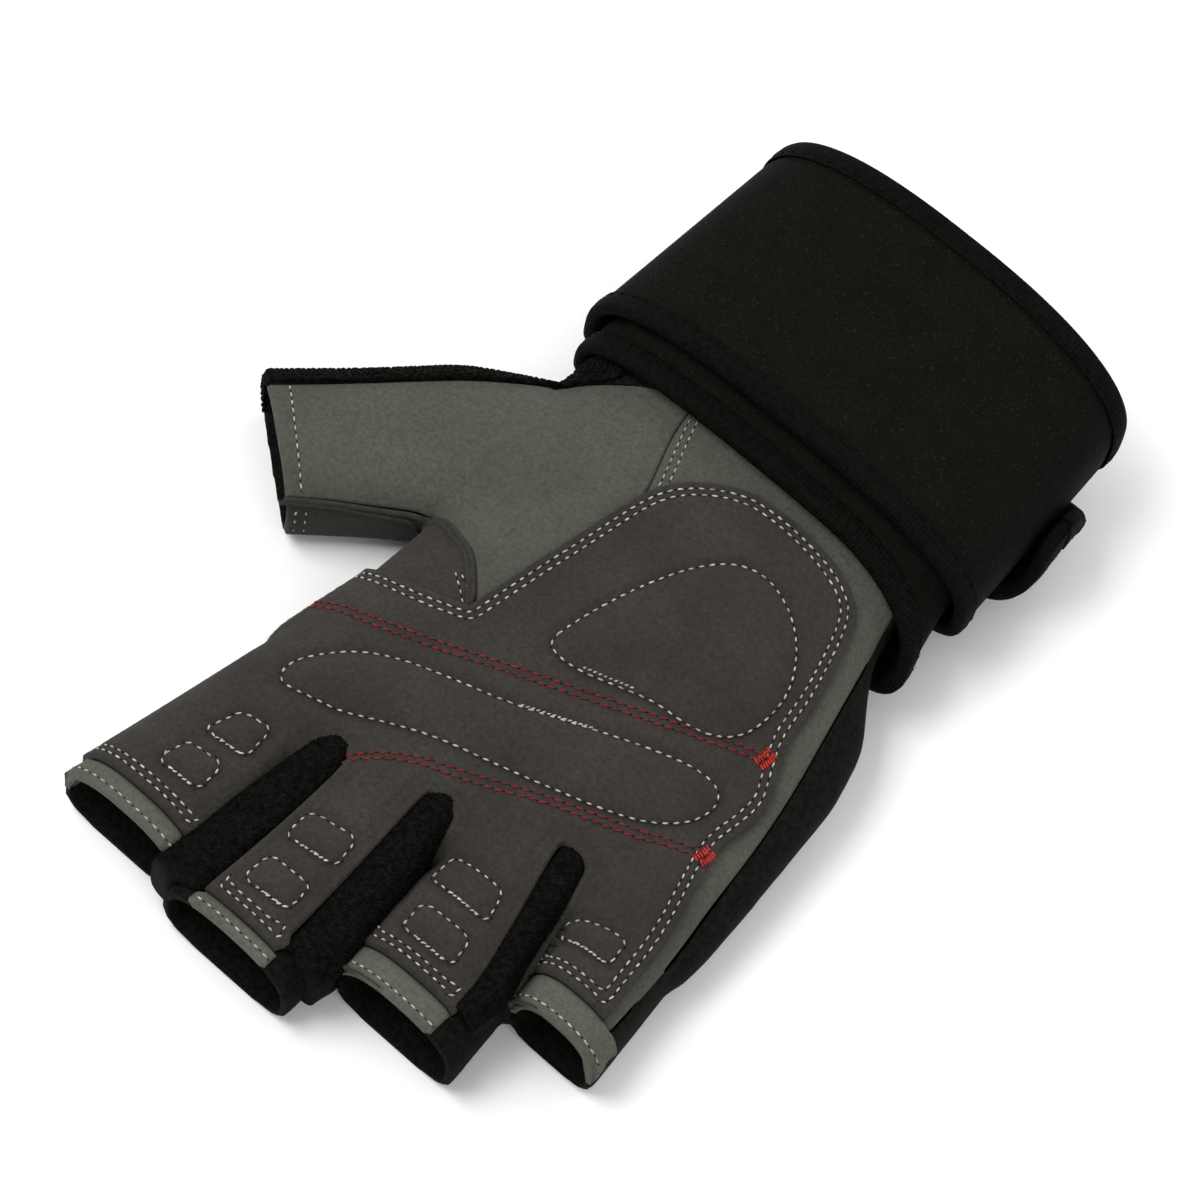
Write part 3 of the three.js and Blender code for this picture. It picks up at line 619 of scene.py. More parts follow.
class Panel:
    """A piece of leather cut to an outline in plan and laid over the hand."""

    def __init__(self, outlines, holes=(), spacing=0.9, keep=None):
        self.outlines, self.holes = outlines, list(holes)
        points, edges = [], []
        for loop in [*outlines, *self.holes]:
            start, count = len(points), len(loop)
            points += [tuple(p) for p in loop]
            edges += [(start + k, start + (k + 1) % count) for k in range(count)]
        border = np.array(points)
        border_tree = tree_of([(x, y, 0) for x, y in border])
        added = []
        for loop in [*outlines, *self.holes]:
            along = np.roll(loop, -1, axis=0) - np.roll(loop, 1, axis=0)
            aside = np.stack([-along[:, 1], along[:, 0]], 1)
            aside = aside / np.linalg.norm(along, axis=1)[:, None].clip(1e-6)
            for rim in (0.28, 0.7):
                for sign in (1, -1):
                    for point in loop + sign * rim * aside:
                        if border_tree.find((*point, 0))[2] > 0.9 * rim:
                            added.append(point)
        low, high = border.min(0), border.max(0)
        rows = np.arange(low[1], high[1], spacing * 0.866)
        for k, y in enumerate(rows):
            for x in np.arange(low[0] + (k % 2) * spacing / 2, high[0], spacing):
                if border_tree.find((x, y, 0))[2] > 0.7 + 0.5 * spacing:
                    added.append((x, y))
        added = np.array(added)
        added = added[self.covers(added, keep)]
        points = np.concatenate([border, added])
        for refining in range(3):
            flat, _, faces, *_ = geometry.delaunay_2d_cdt(
                [Vector(p) for p in points], edges, [], 0, 1e-5, False)
            flat = np.array([tuple(p) for p in flat])
            faces = np.array([f for f in faces if len(f) == 3])
            faces = faces[self.covers(flat[faces].mean(1), keep)]
            skin, out = hand_skin(flat[:, 0], flat[:, 1])
            sides = np.sort(np.concatenate([faces[:, (0, 1)], faces[:, (1, 2)], faces[:, (2, 0)]]), 1)
            sides, seen = np.unique(sides, axis=0, return_counts=True)
            length = np.linalg.norm(skin[sides[:, 0]] - skin[sides[:, 1]], axis=1)
            flat_length = np.linalg.norm(flat[sides[:, 0]] - flat[sides[:, 1]], axis=1)
            long_sides = sides[(length > 1.9 * spacing) & (seen == 2) & (flat_length > 0.12)]
            if refining == 2 or len(long_sides) == 0:
                break
            points = np.concatenate([points, flat[long_sides].mean(1)])
        used = np.unique(faces)
        renumber = np.full(len(flat), -1)
        renumber[used] = np.arange(len(used))
        self.flat, self.faces = flat[used], renumber[faces]
        self.skin, self.out = skin[used], out[used]
        turned = np.cross(self.flat[self.faces[:, 1]] - self.flat[self.faces[:, 0]],
                          self.flat[self.faces[:, 2]] - self.flat[self.faces[:, 0]]) < 0
        self.faces[turned] = self.faces[turned][:, ::-1]
        sides = np.concatenate([self.faces[:, (0, 1)], self.faces[:, (1, 2)], self.faces[:, (2, 0)]])
        both = {tuple(side) for side in sides.tolist()}
        self.rim = [side for side in sides.tolist() if (side[1], side[0]) not in both]
        if keep is not None:
            self.end_at_fold(keep)
        self.edge_distance = self.distance_to([(self.skin[a], self.skin[b]) for a, b in self.rim])

    def end_at_fold(self, keep):
        # The piece ends in a clean line down its outer side, just over the edge of the back
        rim = np.unique(self.rim)
        x, y = self.flat[rim].T
        side = np.where(x < 0, -1, 1)
        inner, outer = x - fold_search * side, x + fold_search * side
        beside = keep(np.stack([inner, y], 1)) & ~keep(np.stack([outer, y], 1))
        rim, y, side, inner, outer = rim[beside], y[beside], side[beside], inner[beside], outer[beside]
        for _ in range(12):
            middle = (inner + outer) / 2
            above = keep(np.stack([middle, y], 1))
            inner, outer = np.where(above, middle, inner), np.where(above, outer, middle)
        self.flat[rim, 0] = inner
        self.skin[rim] = np.stack([inner, y, fold_height(y) - fold_overlap], 1)
        self.out[rim] = np.stack([fold_facing[0] * side, 0 * y, 0 * y + fold_facing[1]], 1)

    def covers(self, places, keep=None):
        inside = np.zeros(len(places), bool)
        for loop in self.outlines:
            inside |= within(places, loop)
        for loop in self.holes:
            inside &= ~within(places, loop)
        if keep is not None:
            inside &= keep(places)
        return inside

    def distance_to(self, segments):
        marks = []
        for a, b in segments:
            count = max(1, int(np.linalg.norm(b - a) / 0.35))
            marks += [a + (b - a) * k / count for k in range(count)]
        marks_tree = tree_of(marks)
        return np.array([marks_tree.find(p)[2] for p in self.skin])

    def make(self, name, top, bottom, seam_shade=None):
        """The closed piece between two heights over the form, with a share of painted shade along its seams
        kept as an attribute.
        """
        count = len(self.flat)
        points = np.concatenate([self.skin + self.out * np.reshape(top, (-1, 1)),
                                 self.skin + self.out * np.reshape(bottom, (-1, 1))])
        faces = self.faces.tolist()
        faces += (self.faces[:, ::-1] + count).tolist()
        faces += [(b, a, a + count, b + count) for a, b in self.rim]
        piece = new_object(name, points, faces)
        piece.data.shade_smooth()
        if seam_shade is not None:
            kept = piece.data.attributes.new("seam_shade", "FLOAT", "POINT")
            kept.data.foreach_set("value", np.concatenate([seam_shade, np.zeros(count)]).astype(np.float32))
        self.top = np.broadcast_to(top, count)
        return piece

    def rows_at(self, distance, field=None, where=None, lift=0.0):
        """Lines on the piece at a distance from its edge, as lists of points and directions."""
        field = self.edge_distance if field is None else field
        over = field > distance
        raised = self.skin + self.out * (self.top[:, None] + lift)
        ends = {}
        links = {}
        for face in self.faces[over[self.faces].any(1) & ~over[self.faces].all(1)].tolist():
            hits = []
            for a, b in ((face[0], face[1]), (face[1], face[2]), (face[2], face[0])):
                if over[a] != over[b]:
                    key = (min(a, b), max(a, b))
                    share = (distance - field[key[0]]) / (field[key[1]] - field[key[0]])
                    ends[key] = [values[key[0]] + (values[key[1]] - values[key[0]]) * share
                                 for values in (raised, self.out, self.flat)]
                    hits.append(key)
            if len(hits) == 2:
                for a, b in (hits, hits[::-1]):
                    links.setdefault(a, []).append(b)
        rows, left = [], set(links)
        while left:
            start = next((k for k in left if len(links[k]) == 1), None) or min(left)
            chain = [start]
            left.discard(start)
            while True:
                after = next((k for k in links[chain[-1]] if k in left), None)
                if after is None:
                    break
                chain.append(after)
                left.discard(after)
            rows.append(chain)
        lines = []
        for chain in rows:
            part = []
            for key in chain:
                point, out, flat = ends[key]
                if where is None or where(flat[0], flat[1]):
                    part.append((point, out))
                elif len(part) > 3:
                    lines.append(part)
                    part = []
                else:
                    part = []
            if len(part) > 3:
                lines.append(part)
        return lines

    def line_over(self, rows, lift=0.0):
        """A drawn line, given in plan, lifted onto the piece."""
        line = spread_line(rows, 0.8)
        skin, out = hand_skin(line[:, 0], line[:, 1])
        points_tree = tree_of([(x, y, 0) for x, y in self.flat])
        height = np.array([np.mean([self.top[k] for _, k, _ in points_tree.find_n((x, y, 0), 3)])
                           for x, y in line])
        return list(zip(skin + out * (height[:, None] + lift), out))


def within(places, loop):
    inside = np.zeros(len(places), bool)
    x, y = places[:, 0], places[:, 1]
    for (ax, ay), (bx, by) in zip(loop, np.roll(loop, -1, axis=0)):
        crosses = (ay > y) != (by > y)
        inside ^= crosses & (x < (bx - ax) * (y - ay) / (by - ay if by != ay else 1) + ax)
    return inside


def spread_line(rows, step):
    # A smooth open line through the given places, with points a step apart
    line = np.array(rows, float)
    for _ in range(3):
        here, after = line[:-1], line[1:]
        middle = np.stack([here * 0.75 + after * 0.25, here * 0.25 + after * 0.75], 1).reshape(-1, 2)
        line = np.concatenate([line[:1], middle, line[-1:]])
    run = np.concatenate([[0], np.cumsum(np.linalg.norm(np.diff(line, axis=0), axis=1))])
    at = np.linspace(0, run[-1], max(2, int(run[-1] / step) + 1))
    return np.stack([np.interp(at, run, line[:, 0]), np.interp(at, run, line[:, 1])], 1)


edge_radius = 0.8
hem_edge_radius = 0.9


def turned_edge(distance, radius):
    # How far the leather falls away towards its edge
    share = np.clip(distance / radius, 0, 1)
    return radius * (1 - np.sqrt(np.clip(1 - (1 - share) ** 2, 0, 1)))


# Suede nap: soft patches of lighter and darker nap, a fine felted grain and fewer coarse fibres
nap_group, given, put = new_group(
    "suede_nap", [("Place", "NodeSocketVector", None)],
    [("Patches", "NodeSocketFloat"), ("Speckle", "NodeSocketFloat"), ("Height", "NodeSocketFloat")])
nap_group.links.new(noise_field(nap_group, given["Place"], 55, 5, 0.62, 0.32, 0.68), put["Patches"])
nap_group.links.new(noise_field(nap_group, given["Place"], 1150, 4, 0.75, 0.3, 0.7), put["Speckle"])
grain = noise_field(nap_group, given["Place"], 900, 5, 0.75)
coarse = calculate(nap_group, "MULTIPLY", noise_field(nap_group, given["Place"], 210, 3, 0.6), 0.8)
nap_group.links.new(calculate(nap_group, "ADD", grain, coarse), put["Height"])


def leather_finish(name, dark, light, roughness, grain_height, sheen=0.06):
    material, tree, shader, place = finish_material(name, roughness, sheen, (0.8, 0.8, 0.8, 1), 0.1)
    nap = use_group(tree, nap_group, place=place)
    # Painted shade: a per-point attribute darkens the colour towards a third of the dark tone in the dips
    # along the stitch rows and pad edges
    seam_shade = place_node(tree, "ShaderNodeAttribute", attribute_name="seam_shade")
    colour = mix_colour(tree, nap["Patches"], dark, light)
    speckled = mix_colour(tree, calculate(tree, "MULTIPLY", nap["Speckle"], 0.8), colour,
                          tuple(0.5 * c for c in dark[:3]) + (1,))
    coloured(tree, shader, calculate(tree, "MULTIPLY", seam_shade["Fac"], 0.42), speckled,
             tuple(0.35 * c for c in dark[:3]) + (1,))
    bumped(tree, shader, nap["Height"], grain_height)
    return material


light_leather = leather_finish(
    "light_leather", (0.075, 0.077, 0.062, 1), (0.093, 0.097, 0.078, 1), 0.9, 0.00026)
# The hems use a lit copy of the same leather, about a fifth lighter: painted light
lit_hem_leather = leather_finish(
    "light_leather_hem_lit", (0.095, 0.098, 0.078, 1), (0.118, 0.122, 0.098, 1), 0.9, 0.00026)

thumb_panel = Panel([thumb_panel_loop], spacing=0.9)
thumb_edge = thumb_panel.edge_distance
# The last argument is painted shade: a darker band 2.2 mm in from the panel's edge, along its seam
thumb_piece = thumb_panel.make("thumb_panel_leather", -turned_edge(thumb_edge, edge_radius), -wall,
                               np.exp(-((thumb_edge - 2.2) / 0.9) ** 2) * 0.3)
put_on(thumb_piece, light_leather)
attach(thumb_piece, "root")
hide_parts("thumb_panel")

hem_depth = 5.5
hem_rise = 0.5
# Columns: left and right end (half widths), opening (reach), depth behind the opening
hem_rows = {
    "hem_index": (-0.87, -0.335, -0.965, 0.85),
    "hem_middle": (-0.165, 0.215, -1.01, 0.62),
    "hem_ring": (0.35, 0.80, -0.90, 1.05),
    "hem_little": (0.855, 1.285, -0.73, 1.25),
}
hem_loops = {
    name: rounded_loop([
        (x * half_width, end * reach + back * hem_depth)
        for x, back in ((left, 0), (right, 0), (right, depth), (left, depth))
    ], rounds=1, cut=0.06)
    for name, (left, right, end, depth) in hem_rows.items()
}


def fold_height(y):
    under, crown = palm_section(y)[2:]
    fingers = ramp(y, -50, -62)
    return under + (crown + (finger_height - crown) * fingers - under) * fold_share


def above_the_fold(places):
    # True where the form under a place has not yet turned down past the fold
    return hand_height(places[:, 0], places[:, 1]) > fold_height(places[:, 1])


palm_base = Panel([palm_base_loop], [*knit_loops.values(), *hem_loops.values(), thumb_panel_loop],
                  spacing=1.0, keep=above_the_fold)
base_piece = palm_base.make("palm_base_leather", -turned_edge(palm_base.edge_distance, edge_radius), -wall)
put_on(base_piece, light_leather)
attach(base_piece, "root")
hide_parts("palm_base")

hems = {}
for name, loop in hem_loops.items():
    hem = Panel([loop], list(knit_loops.values()), spacing=0.7, keep=above_the_fold)
    hem_piece = hem.make(name + "_leather", hem_rise - turned_edge(hem.edge_distance, hem_edge_radius), -wall)
    put_on(hem_piece, lit_hem_leather)
    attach(hem_piece, "root")
    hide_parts(name)
    hems[name] = hem


# Looped knit: a rib along the thumb's upper edge and three soft strips between the fingers,
# knitted with small raised loops and sewn in so that they bulge up between the leathers.
loop_tree, given, put = new_group(
    "raised_loops",
    [("Ground", "NodeSocketGeometry", None), ("Apart", "NodeSocketFloat", None),
     ("Loop size", "NodeSocketFloat", None), ("Yarn", "NodeSocketMaterial", None),
     ("Seed", "NodeSocketInt", None)],
    [("Knit", "NodeSocketGeometry")], "GeometryNodeTree")
shown = place_node(loop_tree, "GeometryNodeInputNamedAttribute", {"Name": "looped"}, data_type="FLOAT")
spots = place_node(loop_tree, "GeometryNodeDistributePointsOnFaces", {
    "Mesh": given["Ground"], "Distance Min": given["Apart"], "Density Max": 6000000.0,
    "Density Factor": shown[0], "Seed": given["Seed"]}, distribute_method="POISSON")
bead = place_node(loop_tree, "GeometryNodeMeshUVSphere", {"Segments": 6, "Rings": 4})
stretch = place_node(loop_tree, "GeometryNodeTransform", {"Geometry": bead[0], "Scale": (0.62, 0.42, 0.36)})
lean = place_node(loop_tree, "FunctionNodeRandomValue", {
    0: (-0.3, -0.3, 0.0), 1: (0.3, 0.3, 6.283), "Seed": given["Seed"]}, data_type="FLOAT_VECTOR")
upright = place_node(loop_tree, "FunctionNodeRotateRotation",
                     {0: spots["Rotation"], 1: lean[0]}, rotation_space="LOCAL")
loops = place_node(loop_tree, "GeometryNodeInstanceOnPoints", {
    "Points": spots["Points"], "Instance": stretch[0], "Rotation": upright[0], "Scale": given["Loop size"]})
real = place_node(loop_tree, "GeometryNodeRealizeInstances", {0: loops[0]})
both = loop_tree.nodes.new("GeometryNodeJoinGeometry")
for part in (given["Ground"], real[0]):
    loop_tree.links.new(part, both.inputs[0])
knit = place_node(loop_tree, "GeometryNodeSetMaterial", {
    "Geometry": both.outputs[0], "Material": given["Yarn"]})
loop_tree.links.new(knit[0], put["Knit"])

looped_yarn, tree, shader, place = finish_material("looped_knit", 0.7, 0.0, (0.6, 0.6, 0.6, 1), 0.045)
coloured(tree, shader, noise_field(tree, place, 900, 3, 0.6, 0.35, 0.7),
         (0.0004, 0.0004, 0.0003, 1), (0.0060, 0.0056, 0.0043, 1))
bumped(tree, shader, noise_field(tree, place, 1900, 3, 0.7), 0.00015)


def grown(piece, tree, **values):
    # The piece as a tree of nodes makes it, with the tree's inputs set by their names
    modifier = piece.modifiers.new(tree.name, "NODES")
    modifier.node_group = tree
    sockets = {s.name: s.identifier for s in tree.interface.items_tree if s.in_out == "INPUT"}
    for key, value in values.items():
        modifier[sockets[key.replace("_", " ").capitalize()]] = value
    settled(piece)
    piece.data.shade_smooth()


def with_loops(piece, lowest, apart, loop_size, seed):
    # Raised loops grow on the faces that can be seen, not on those inside the glove
    kept = piece.data.attributes.new("looped", "FLOAT", "FACE")
    kept.data.foreach_set("value", [float(face.normal.z > lowest) for face in piece.data.polygons])
    grown(piece, loop_tree, apart=apart * mm, loop_size=loop_size * mm, yarn=looped_yarn, seed=seed)
    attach(piece, "root")


def wall_within(name, offset, loop):
    # The wall of the form inside an outline in plan, standing out by an offset
    piece = hand_form(name, offset, 0, fine_voxel)
    cut_with(piece, hand_form("hand_hollow", -wall, hollow_overrun, voxel), "DIFFERENCE")
    cut_with(piece, prism("cutter", loop, knit_floor, sky), "INTERSECT")
    return piece


strip_rise = 0.3
strip_flatness = 0.62
strip_tuck = 0.9
strip_tip_width = 0.45
# Shares of the reach: how far in from its outline a strip starts and ends, and its round tip
strip_start, strip_end = 0.014, 0.004
tip_before, tip_length = 0.022, 0.037
for seed, (name, rows) in enumerate(knit_rows.items()):
    table = np.array(rows)
    rings = []
    for y in np.linspace(table[0, 0] + strip_start, table[-1, 0] - strip_end, 70):
        left, right = (float(eased(table[:, 0] * reach, table[:, k], y * reach, strip_easing)) * half_width
                       for k in (1, 2))
        crown = finger_height + (finger_root_height - finger_height) * float(ramp(y, -1.0, -0.5)) + strip_rise
        tip = math.sqrt(max(0.04, 1 - max(0, (y - table[0, 0] + tip_before) / tip_length) ** 2))
        angle = np.arange(44) * 2 * math.pi / 44
        c, s = np.cos(angle), np.sin(angle)
        side = knit_floor + (crown - knit_floor) * (0.8 + 0.2 * tip) * side_share
        half = (right - left) / 2 * max(tip, strip_tip_width) + strip_tuck
        across = np.sign(c) * np.abs(c) ** strip_flatness * half
        rise = np.where(s > 0, (crown - side) * (0.88 + 0.12 * tip), side - knit_floor)
        rise = rise * np.sign(s) * np.abs(s) ** strip_flatness
        rings.append(np.stack([(left + right) / 2 + across, y * reach + 0 * across, side + rise], 1))
    strip = recalculated(new_object(name + "_loops", *tube_mesh(rings)))
    cut_with(strip, hand_form("hand_hollow", -wall * 0.8, hollow_overrun, voxel), "DIFFERENCE")
    put_on(strip, looped_yarn)
    with_loops(strip, 0.05, 0.62, 0.62, seed)
    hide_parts(name)

thumb_rib = wall_within("thumb_knit_rib", 1.0, thumb_knit_loop)
put_on(thumb_rib, looped_yarn)
with_loops(thumb_rib, -0.35, 0.95, 1.05, 7)
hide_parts("thumb_knit")


# Dark grey suede: the gusset under the thumb, folded over at the web, and the one-piece
# overlay of the palm and finger fronts, sewn down with two rows of white stitches.
suede_finish = leather_finish("suede", (0.036, 0.0322, 0.0280, 1), (0.054, 0.0495, 0.0435, 1), 0.95, 0.00042)

gusset_piece = wall_within("thumb_gusset_suede", 0.1, gusset_loop)
cut_with(gusset_piece, palm_side_cutter("thumb_panel_room", thumb_panel_loop), "DIFFERENCE")
gusset_piece.data.shade_smooth()
put_on(gusset_piece, suede_finish)
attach(gusset_piece, "root")
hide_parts("thumb_gusset")


def over_form(rows, lift, step=0.8):
    line = spread_line(rows, step)
    skin, out = hand_skin(line[:, 0], line[:, 1])
    return list(zip(skin + out * lift, out))


def turned_fold(name, rows, radius, lift):
    # A folded edge of suede that stands along a seam as a low round ridge
    rings = []
    line = over_form(rows, lift, 1.0)
    for k, (point, out) in enumerate(line):
        along = line[min(k + 1, len(line) - 1)][0] - line[max(k - 1, 0)][0]
        aside = np.cross(along, out)
        aside /= np.linalg.norm(aside)
        angle = np.arange(10)[:, None] * math.pi / 5
        rings.append(point + radius * (np.cos(angle) * aside + np.sin(angle) * out))
    fold = recalculated(new_object(name, *tube_mesh(rings)))
    fold.data.shade_smooth()
    put_on(fold, suede_finish)
    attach(fold, "root")


fold_line = thumb_fold[1:] + on_hand([(-0.285, -0.20), (-0.262, -0.222)])
fold_aside = np.array([-0.35, -0.94])
for number, (aside, radius) in enumerate(((0.35, 0.55), (1.25, 0.5))):
    fold_rows = [tuple(np.array(p) + aside * fold_aside) for p in fold_line]
    turned_fold(f"thumb_fold_{number + 1}", fold_rows, radius, 0.25)

suede_thickness = 1.2
heel_pad_loop = rounded_loop(on_hand([
    (0.05, -0.19), (0.06, -0.14), (0.10, -0.05), (0.15, 0.03), (0.22, 0.11), (0.31, 0.17), (0.42, 0.195),
    (0.54, 0.185), (0.65, 0.155), (0.74, 0.11), (0.81, 0.05), (0.83, -0.02), (0.81, -0.085),
    (0.74, -0.125), (0.63, -0.145), (0.50, -0.15), (0.36, -0.175), (0.22, -0.20), (0.11, -0.205),
]))
knuckle_pad_loop = rounded_loop(on_hand([
    (-0.55, -0.585), (-0.56, -0.545), (-0.51, -0.49), (-0.42, -0.43), (-0.30, -0.395), (-0.12, -0.365),
    (0.14, -0.325), (0.38, -0.27), (0.60, -0.22), (0.78, -0.185), (0.89, -0.185), (0.93, -0.22),
    (0.90, -0.28), (0.78, -0.34), (0.58, -0.385), (0.32, -0.43), (0.05, -0.47), (-0.14, -0.515),
    (-0.26, -0.535), (-0.38, -0.565), (-0.49, -0.59),
]))
# The small finger pads, by their corners: thumb side below and above, then the far side
pad_corners = {
    "finger_pad_index_upper": ((-0.590, -0.758), (-0.542, -0.678), (-0.418, -0.664), (-0.408, -0.742)),
    "finger_pad_index_lower": ((-0.624, -0.858), (-0.590, -0.788), (-0.436, -0.778), (-0.434, -0.852)),
    "finger_pad_middle_upper": ((-0.086, -0.808), (-0.088, -0.736), (0.110, -0.718), (0.128, -0.790)),
    "finger_pad_middle_lower": ((-0.076, -0.922), (-0.068, -0.848), (0.124, -0.844), (0.128, -0.912)),
    "finger_pad_ring_upper": ((0.394, -0.678), (0.396, -0.608), (0.620, -0.610), (0.660, -0.682)),
    "finger_pad_ring_lower": ((0.450, -0.788), (0.442, -0.718), (0.664, -0.720), (0.684, -0.788)),
    "finger_pad_little": ((0.836, -0.588), (0.842, -0.538), (1.056, -0.524), (1.076, -0.590)),
}
pad_loops = {"heel_pad": heel_pad_loop, "knuckle_pad": knuckle_pad_loop}
for name, corners in pad_corners.items():
    pad_loops[name] = rounded_loop(on_hand(corners), rounds=2, cut=0.12, longest=0.6)


def plan_tree(loops):
    # A search tree over outlines in plan
    return tree_of([(*point, 0) for loop in loops for here, after in zip(loop, np.roll(loop, -1, axis=0))
                    for point in (here, (here + after) / 2)])


suede_loop = rounded_loop(on_hand([
    (-0.125, 0.165), (-0.08, 0.22), (0.02, 0.275), (0.15, 0.315), (0.27, 0.325), (0.42, 0.325), (0.58, 0.315),
    (0.70, 0.295), (0.78, 0.26), (0.85, 0.16), (0.90, 0.08), (0.92, 0.02), (0.94, -0.03), (1.0, -0.09),
    (1.05, -0.14), (1.05, -0.20), (1.03, -0.27), (1.07, -0.34), (1.12, -0.42), (1.15, -0.49),
    (1.17, -0.58), (1.19, -0.66), (1.20, -0.73), (0.84, -0.73), (0.81, -0.79), (0.79, -0.90),
    (0.38, -0.90), (0.30, -0.92), (0.195, -0.96), (0.195, -1.01), (-0.16, -1.01), (-0.145, -0.96),
    (-0.25, -0.95), (-0.355, -0.965), (-1.1, -0.965), (-1.1, -0.275), (-0.60, -0.265), (-0.40, -0.25),
    (-0.262, -0.228), (-0.262, -0.228), (-0.235, -0.15), (-0.205, -0.06), (-0.175, 0.02), (-0.15, 0.10),
]))
suede = Panel([suede_loop], [*knit_loops.values(), *hem_loops.values()], spacing=0.75, keep=above_the_fold)
suede_edge = suede.edge_distance
suede_rows = (1.8, 3.2)
row_dip, row_dip_width = 0.22, 0.45
pad_dip, pad_dip_width = 1.4, 1.1
pads_tree = plan_tree(pad_loops.values())
beside_pads = np.array([pads_tree.find((x, y, 0))[2] for x, y in suede.flat])
pucker = sum(np.exp(-((suede_edge - row) / row_dip_width) ** 2) for row in suede_rows)
pucker = np.clip(pucker + pad_dip * np.exp(-(beside_pads / pad_dip_width) ** 2), 0, pad_dip)
suede_top = gap + suede_thickness - turned_edge(suede_edge, edge_radius) - row_dip * pucker
# The same dips also get painted shade: the suede is darkened along the stitch rows and round the pads
suede_piece = suede.make("palm_suede_overlay", suede_top, gap * 0.2, np.clip(pucker, 0, 1) * 0.6)
put_on(suede_piece, suede_finish)
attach(suede_piece, "root")
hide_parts("palm_suede")


# Padded patches: suede over foam, sewn to the overlay with one row of white stitches that
# pulls the edge down, so that the middle stands up as a low crown.
# Columns: the crown's height and how far in it rises
pad_shapes = {"heel_pad": (2.4, 6.0), "knuckle_pad": (2.0, 4.0)}
stitch_from_edge = 0.3
pads = {}
for name, loop in pad_loops.items():
    crown, softness = pad_shapes.get(name, (1.5, 2.2))
    pad = Panel([loop], spacing=0.7)
    edge = pad.edge_distance
    puff = crown * (1 - np.exp(-np.clip(edge - stitch_from_edge, 0, None) / softness))
    # The last argument is painted shade along the stitch row, where the edge is pulled down
    pad_piece = pad.make(name + "_suede", gap + suede_thickness - 0.12 + puff, gap,
                         0.8 * np.exp(-((edge - stitch_from_edge) / 0.5) ** 2))
    put_on(pad_piece, suede_finish)
    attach(pad_piece, "root")
    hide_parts(name)
    pads[name] = pad


# Stitches: spun polyester thread, white along the leather and red across the palm. Each
# stitch is a short bead of thread that lies along its row and dips in at both ends.
thread_tree, given, put = new_group(
    "thread_row",
    [("Rows", "NodeSocketGeometry", None), ("Seed", "NodeSocketInt", None),
     ("Thread", "NodeSocketMaterial", None), ("Hole", "NodeSocketMaterial", None),
     *((measure, "NodeSocketFloat", None) for measure in ("Pitch", "Length", "Thickness", "Slant"))],
    [("Stitches", "NodeSocketGeometry")], "GeometryNodeTree")


def thread_node(kind, inputs=(), **settings):
    return place_node(thread_tree, kind, inputs, **settings)


curve = thread_node("GeometryNodeMeshToCurve", {0: given["Rows"]})
steps = thread_node("GeometryNodeResampleCurve", {"Curve": curve[0], "Length": given["Pitch"]}, mode="LENGTH")
bead = thread_node("GeometryNodeMeshUVSphere", {"Segments": 6, "Rings": 5, "Radius": 1.0})
size = thread_node("ShaderNodeCombineXYZ", {0: given["Length"], 1: given["Thickness"], 2: given["Thickness"]})
half = thread_node("ShaderNodeVectorMath", {0: size[0], "Scale": 0.5}, operation="SCALE")
stitch = thread_node("GeometryNodeTransform", {"Geometry": bead[0], "Scale": half[0]})
out = thread_node("GeometryNodeInputNamedAttribute", {"Name": "out"}, data_type="FLOAT_VECTOR")
stand = thread_node("FunctionNodeAlignRotationToVector", {"Vector": out[0]}, axis="Z")
tangent = thread_node("GeometryNodeInputTangent")
along = thread_node("FunctionNodeAlignRotationToVector", {"Rotation": stand[0], "Vector": tangent[0]},
                    axis="X", pivot_axis="Z")
chance = thread_node("FunctionNodeRandomValue", {2: -0.13, 3: 0.13, "Seed": given["Seed"]}, data_type="FLOAT")
lean = thread_node("ShaderNodeMath", {0: given["Slant"], 1: chance[1]})
twist = thread_node("ShaderNodeCombineXYZ", {2: lean[0]})
turned = thread_node("FunctionNodeRotateRotation", {0: along[0], 1: twist[0]}, rotation_space="LOCAL")
pull = thread_node("FunctionNodeRandomValue", {
    0: (0.78, 0.85, 0.85), 1: (1.12, 1.12, 1.12), "Seed": given["Seed"]}, data_type="FLOAT_VECTOR")
placed = thread_node("GeometryNodeInstanceOnPoints", {
    "Points": steps[0], "Instance": stitch[0], "Rotation": turned[0], "Scale": pull[0]})
threads = thread_node("GeometryNodeSetMaterial", {"Geometry": placed[0], "Material": given["Thread"]})
# Between the stitches, a flat dark dot at each needle hole: painted shade in the hole
dot = thread_node("GeometryNodeMeshUVSphere", {"Segments": 6, "Rings": 3, "Radius": 0.17 * mm})
flat_dot = thread_node("GeometryNodeTransform", {"Geometry": dot[0], "Scale": (1.4, 1.0, 0.45)})
pierced = thread_node("GeometryNodeInstanceOnPoints", {
    "Points": steps[0], "Instance": flat_dot[0], "Rotation": along[0]})
half_pitch = thread_node("ShaderNodeMath", {0: given["Pitch"], 1: 0.5}, operation="MULTIPLY")
between = thread_node("ShaderNodeCombineXYZ", {0: half_pitch[0], 2: -0.03 * mm})
moved = thread_node("GeometryNodeTranslateInstances", {"Instances": pierced[0], "Translation": between[0]})
holes = thread_node("GeometryNodeSetMaterial", {"Geometry": moved[0], "Material": given["Hole"]})
both = thread_tree.nodes.new("GeometryNodeJoinGeometry")
for part in (threads[0], holes[0]):
    thread_tree.links.new(part, both.inputs[0])
real = thread_node("GeometryNodeRealizeInstances", {0: both.outputs[0]})
thread_tree.links.new(real[0], put["Stitches"])

# Near-black colour of the dots: painted shade inside the needle holes
needle_hole_shade, tree, shader, place = finish_material("needle_hole_shade", 1.0, 0.0, (1, 1, 1, 1), 0.0)
coloured(tree, shader, noise_field(tree, place, 800), (0.004, 0.004, 0.003, 1), (0.010, 0.009, 0.008, 1))


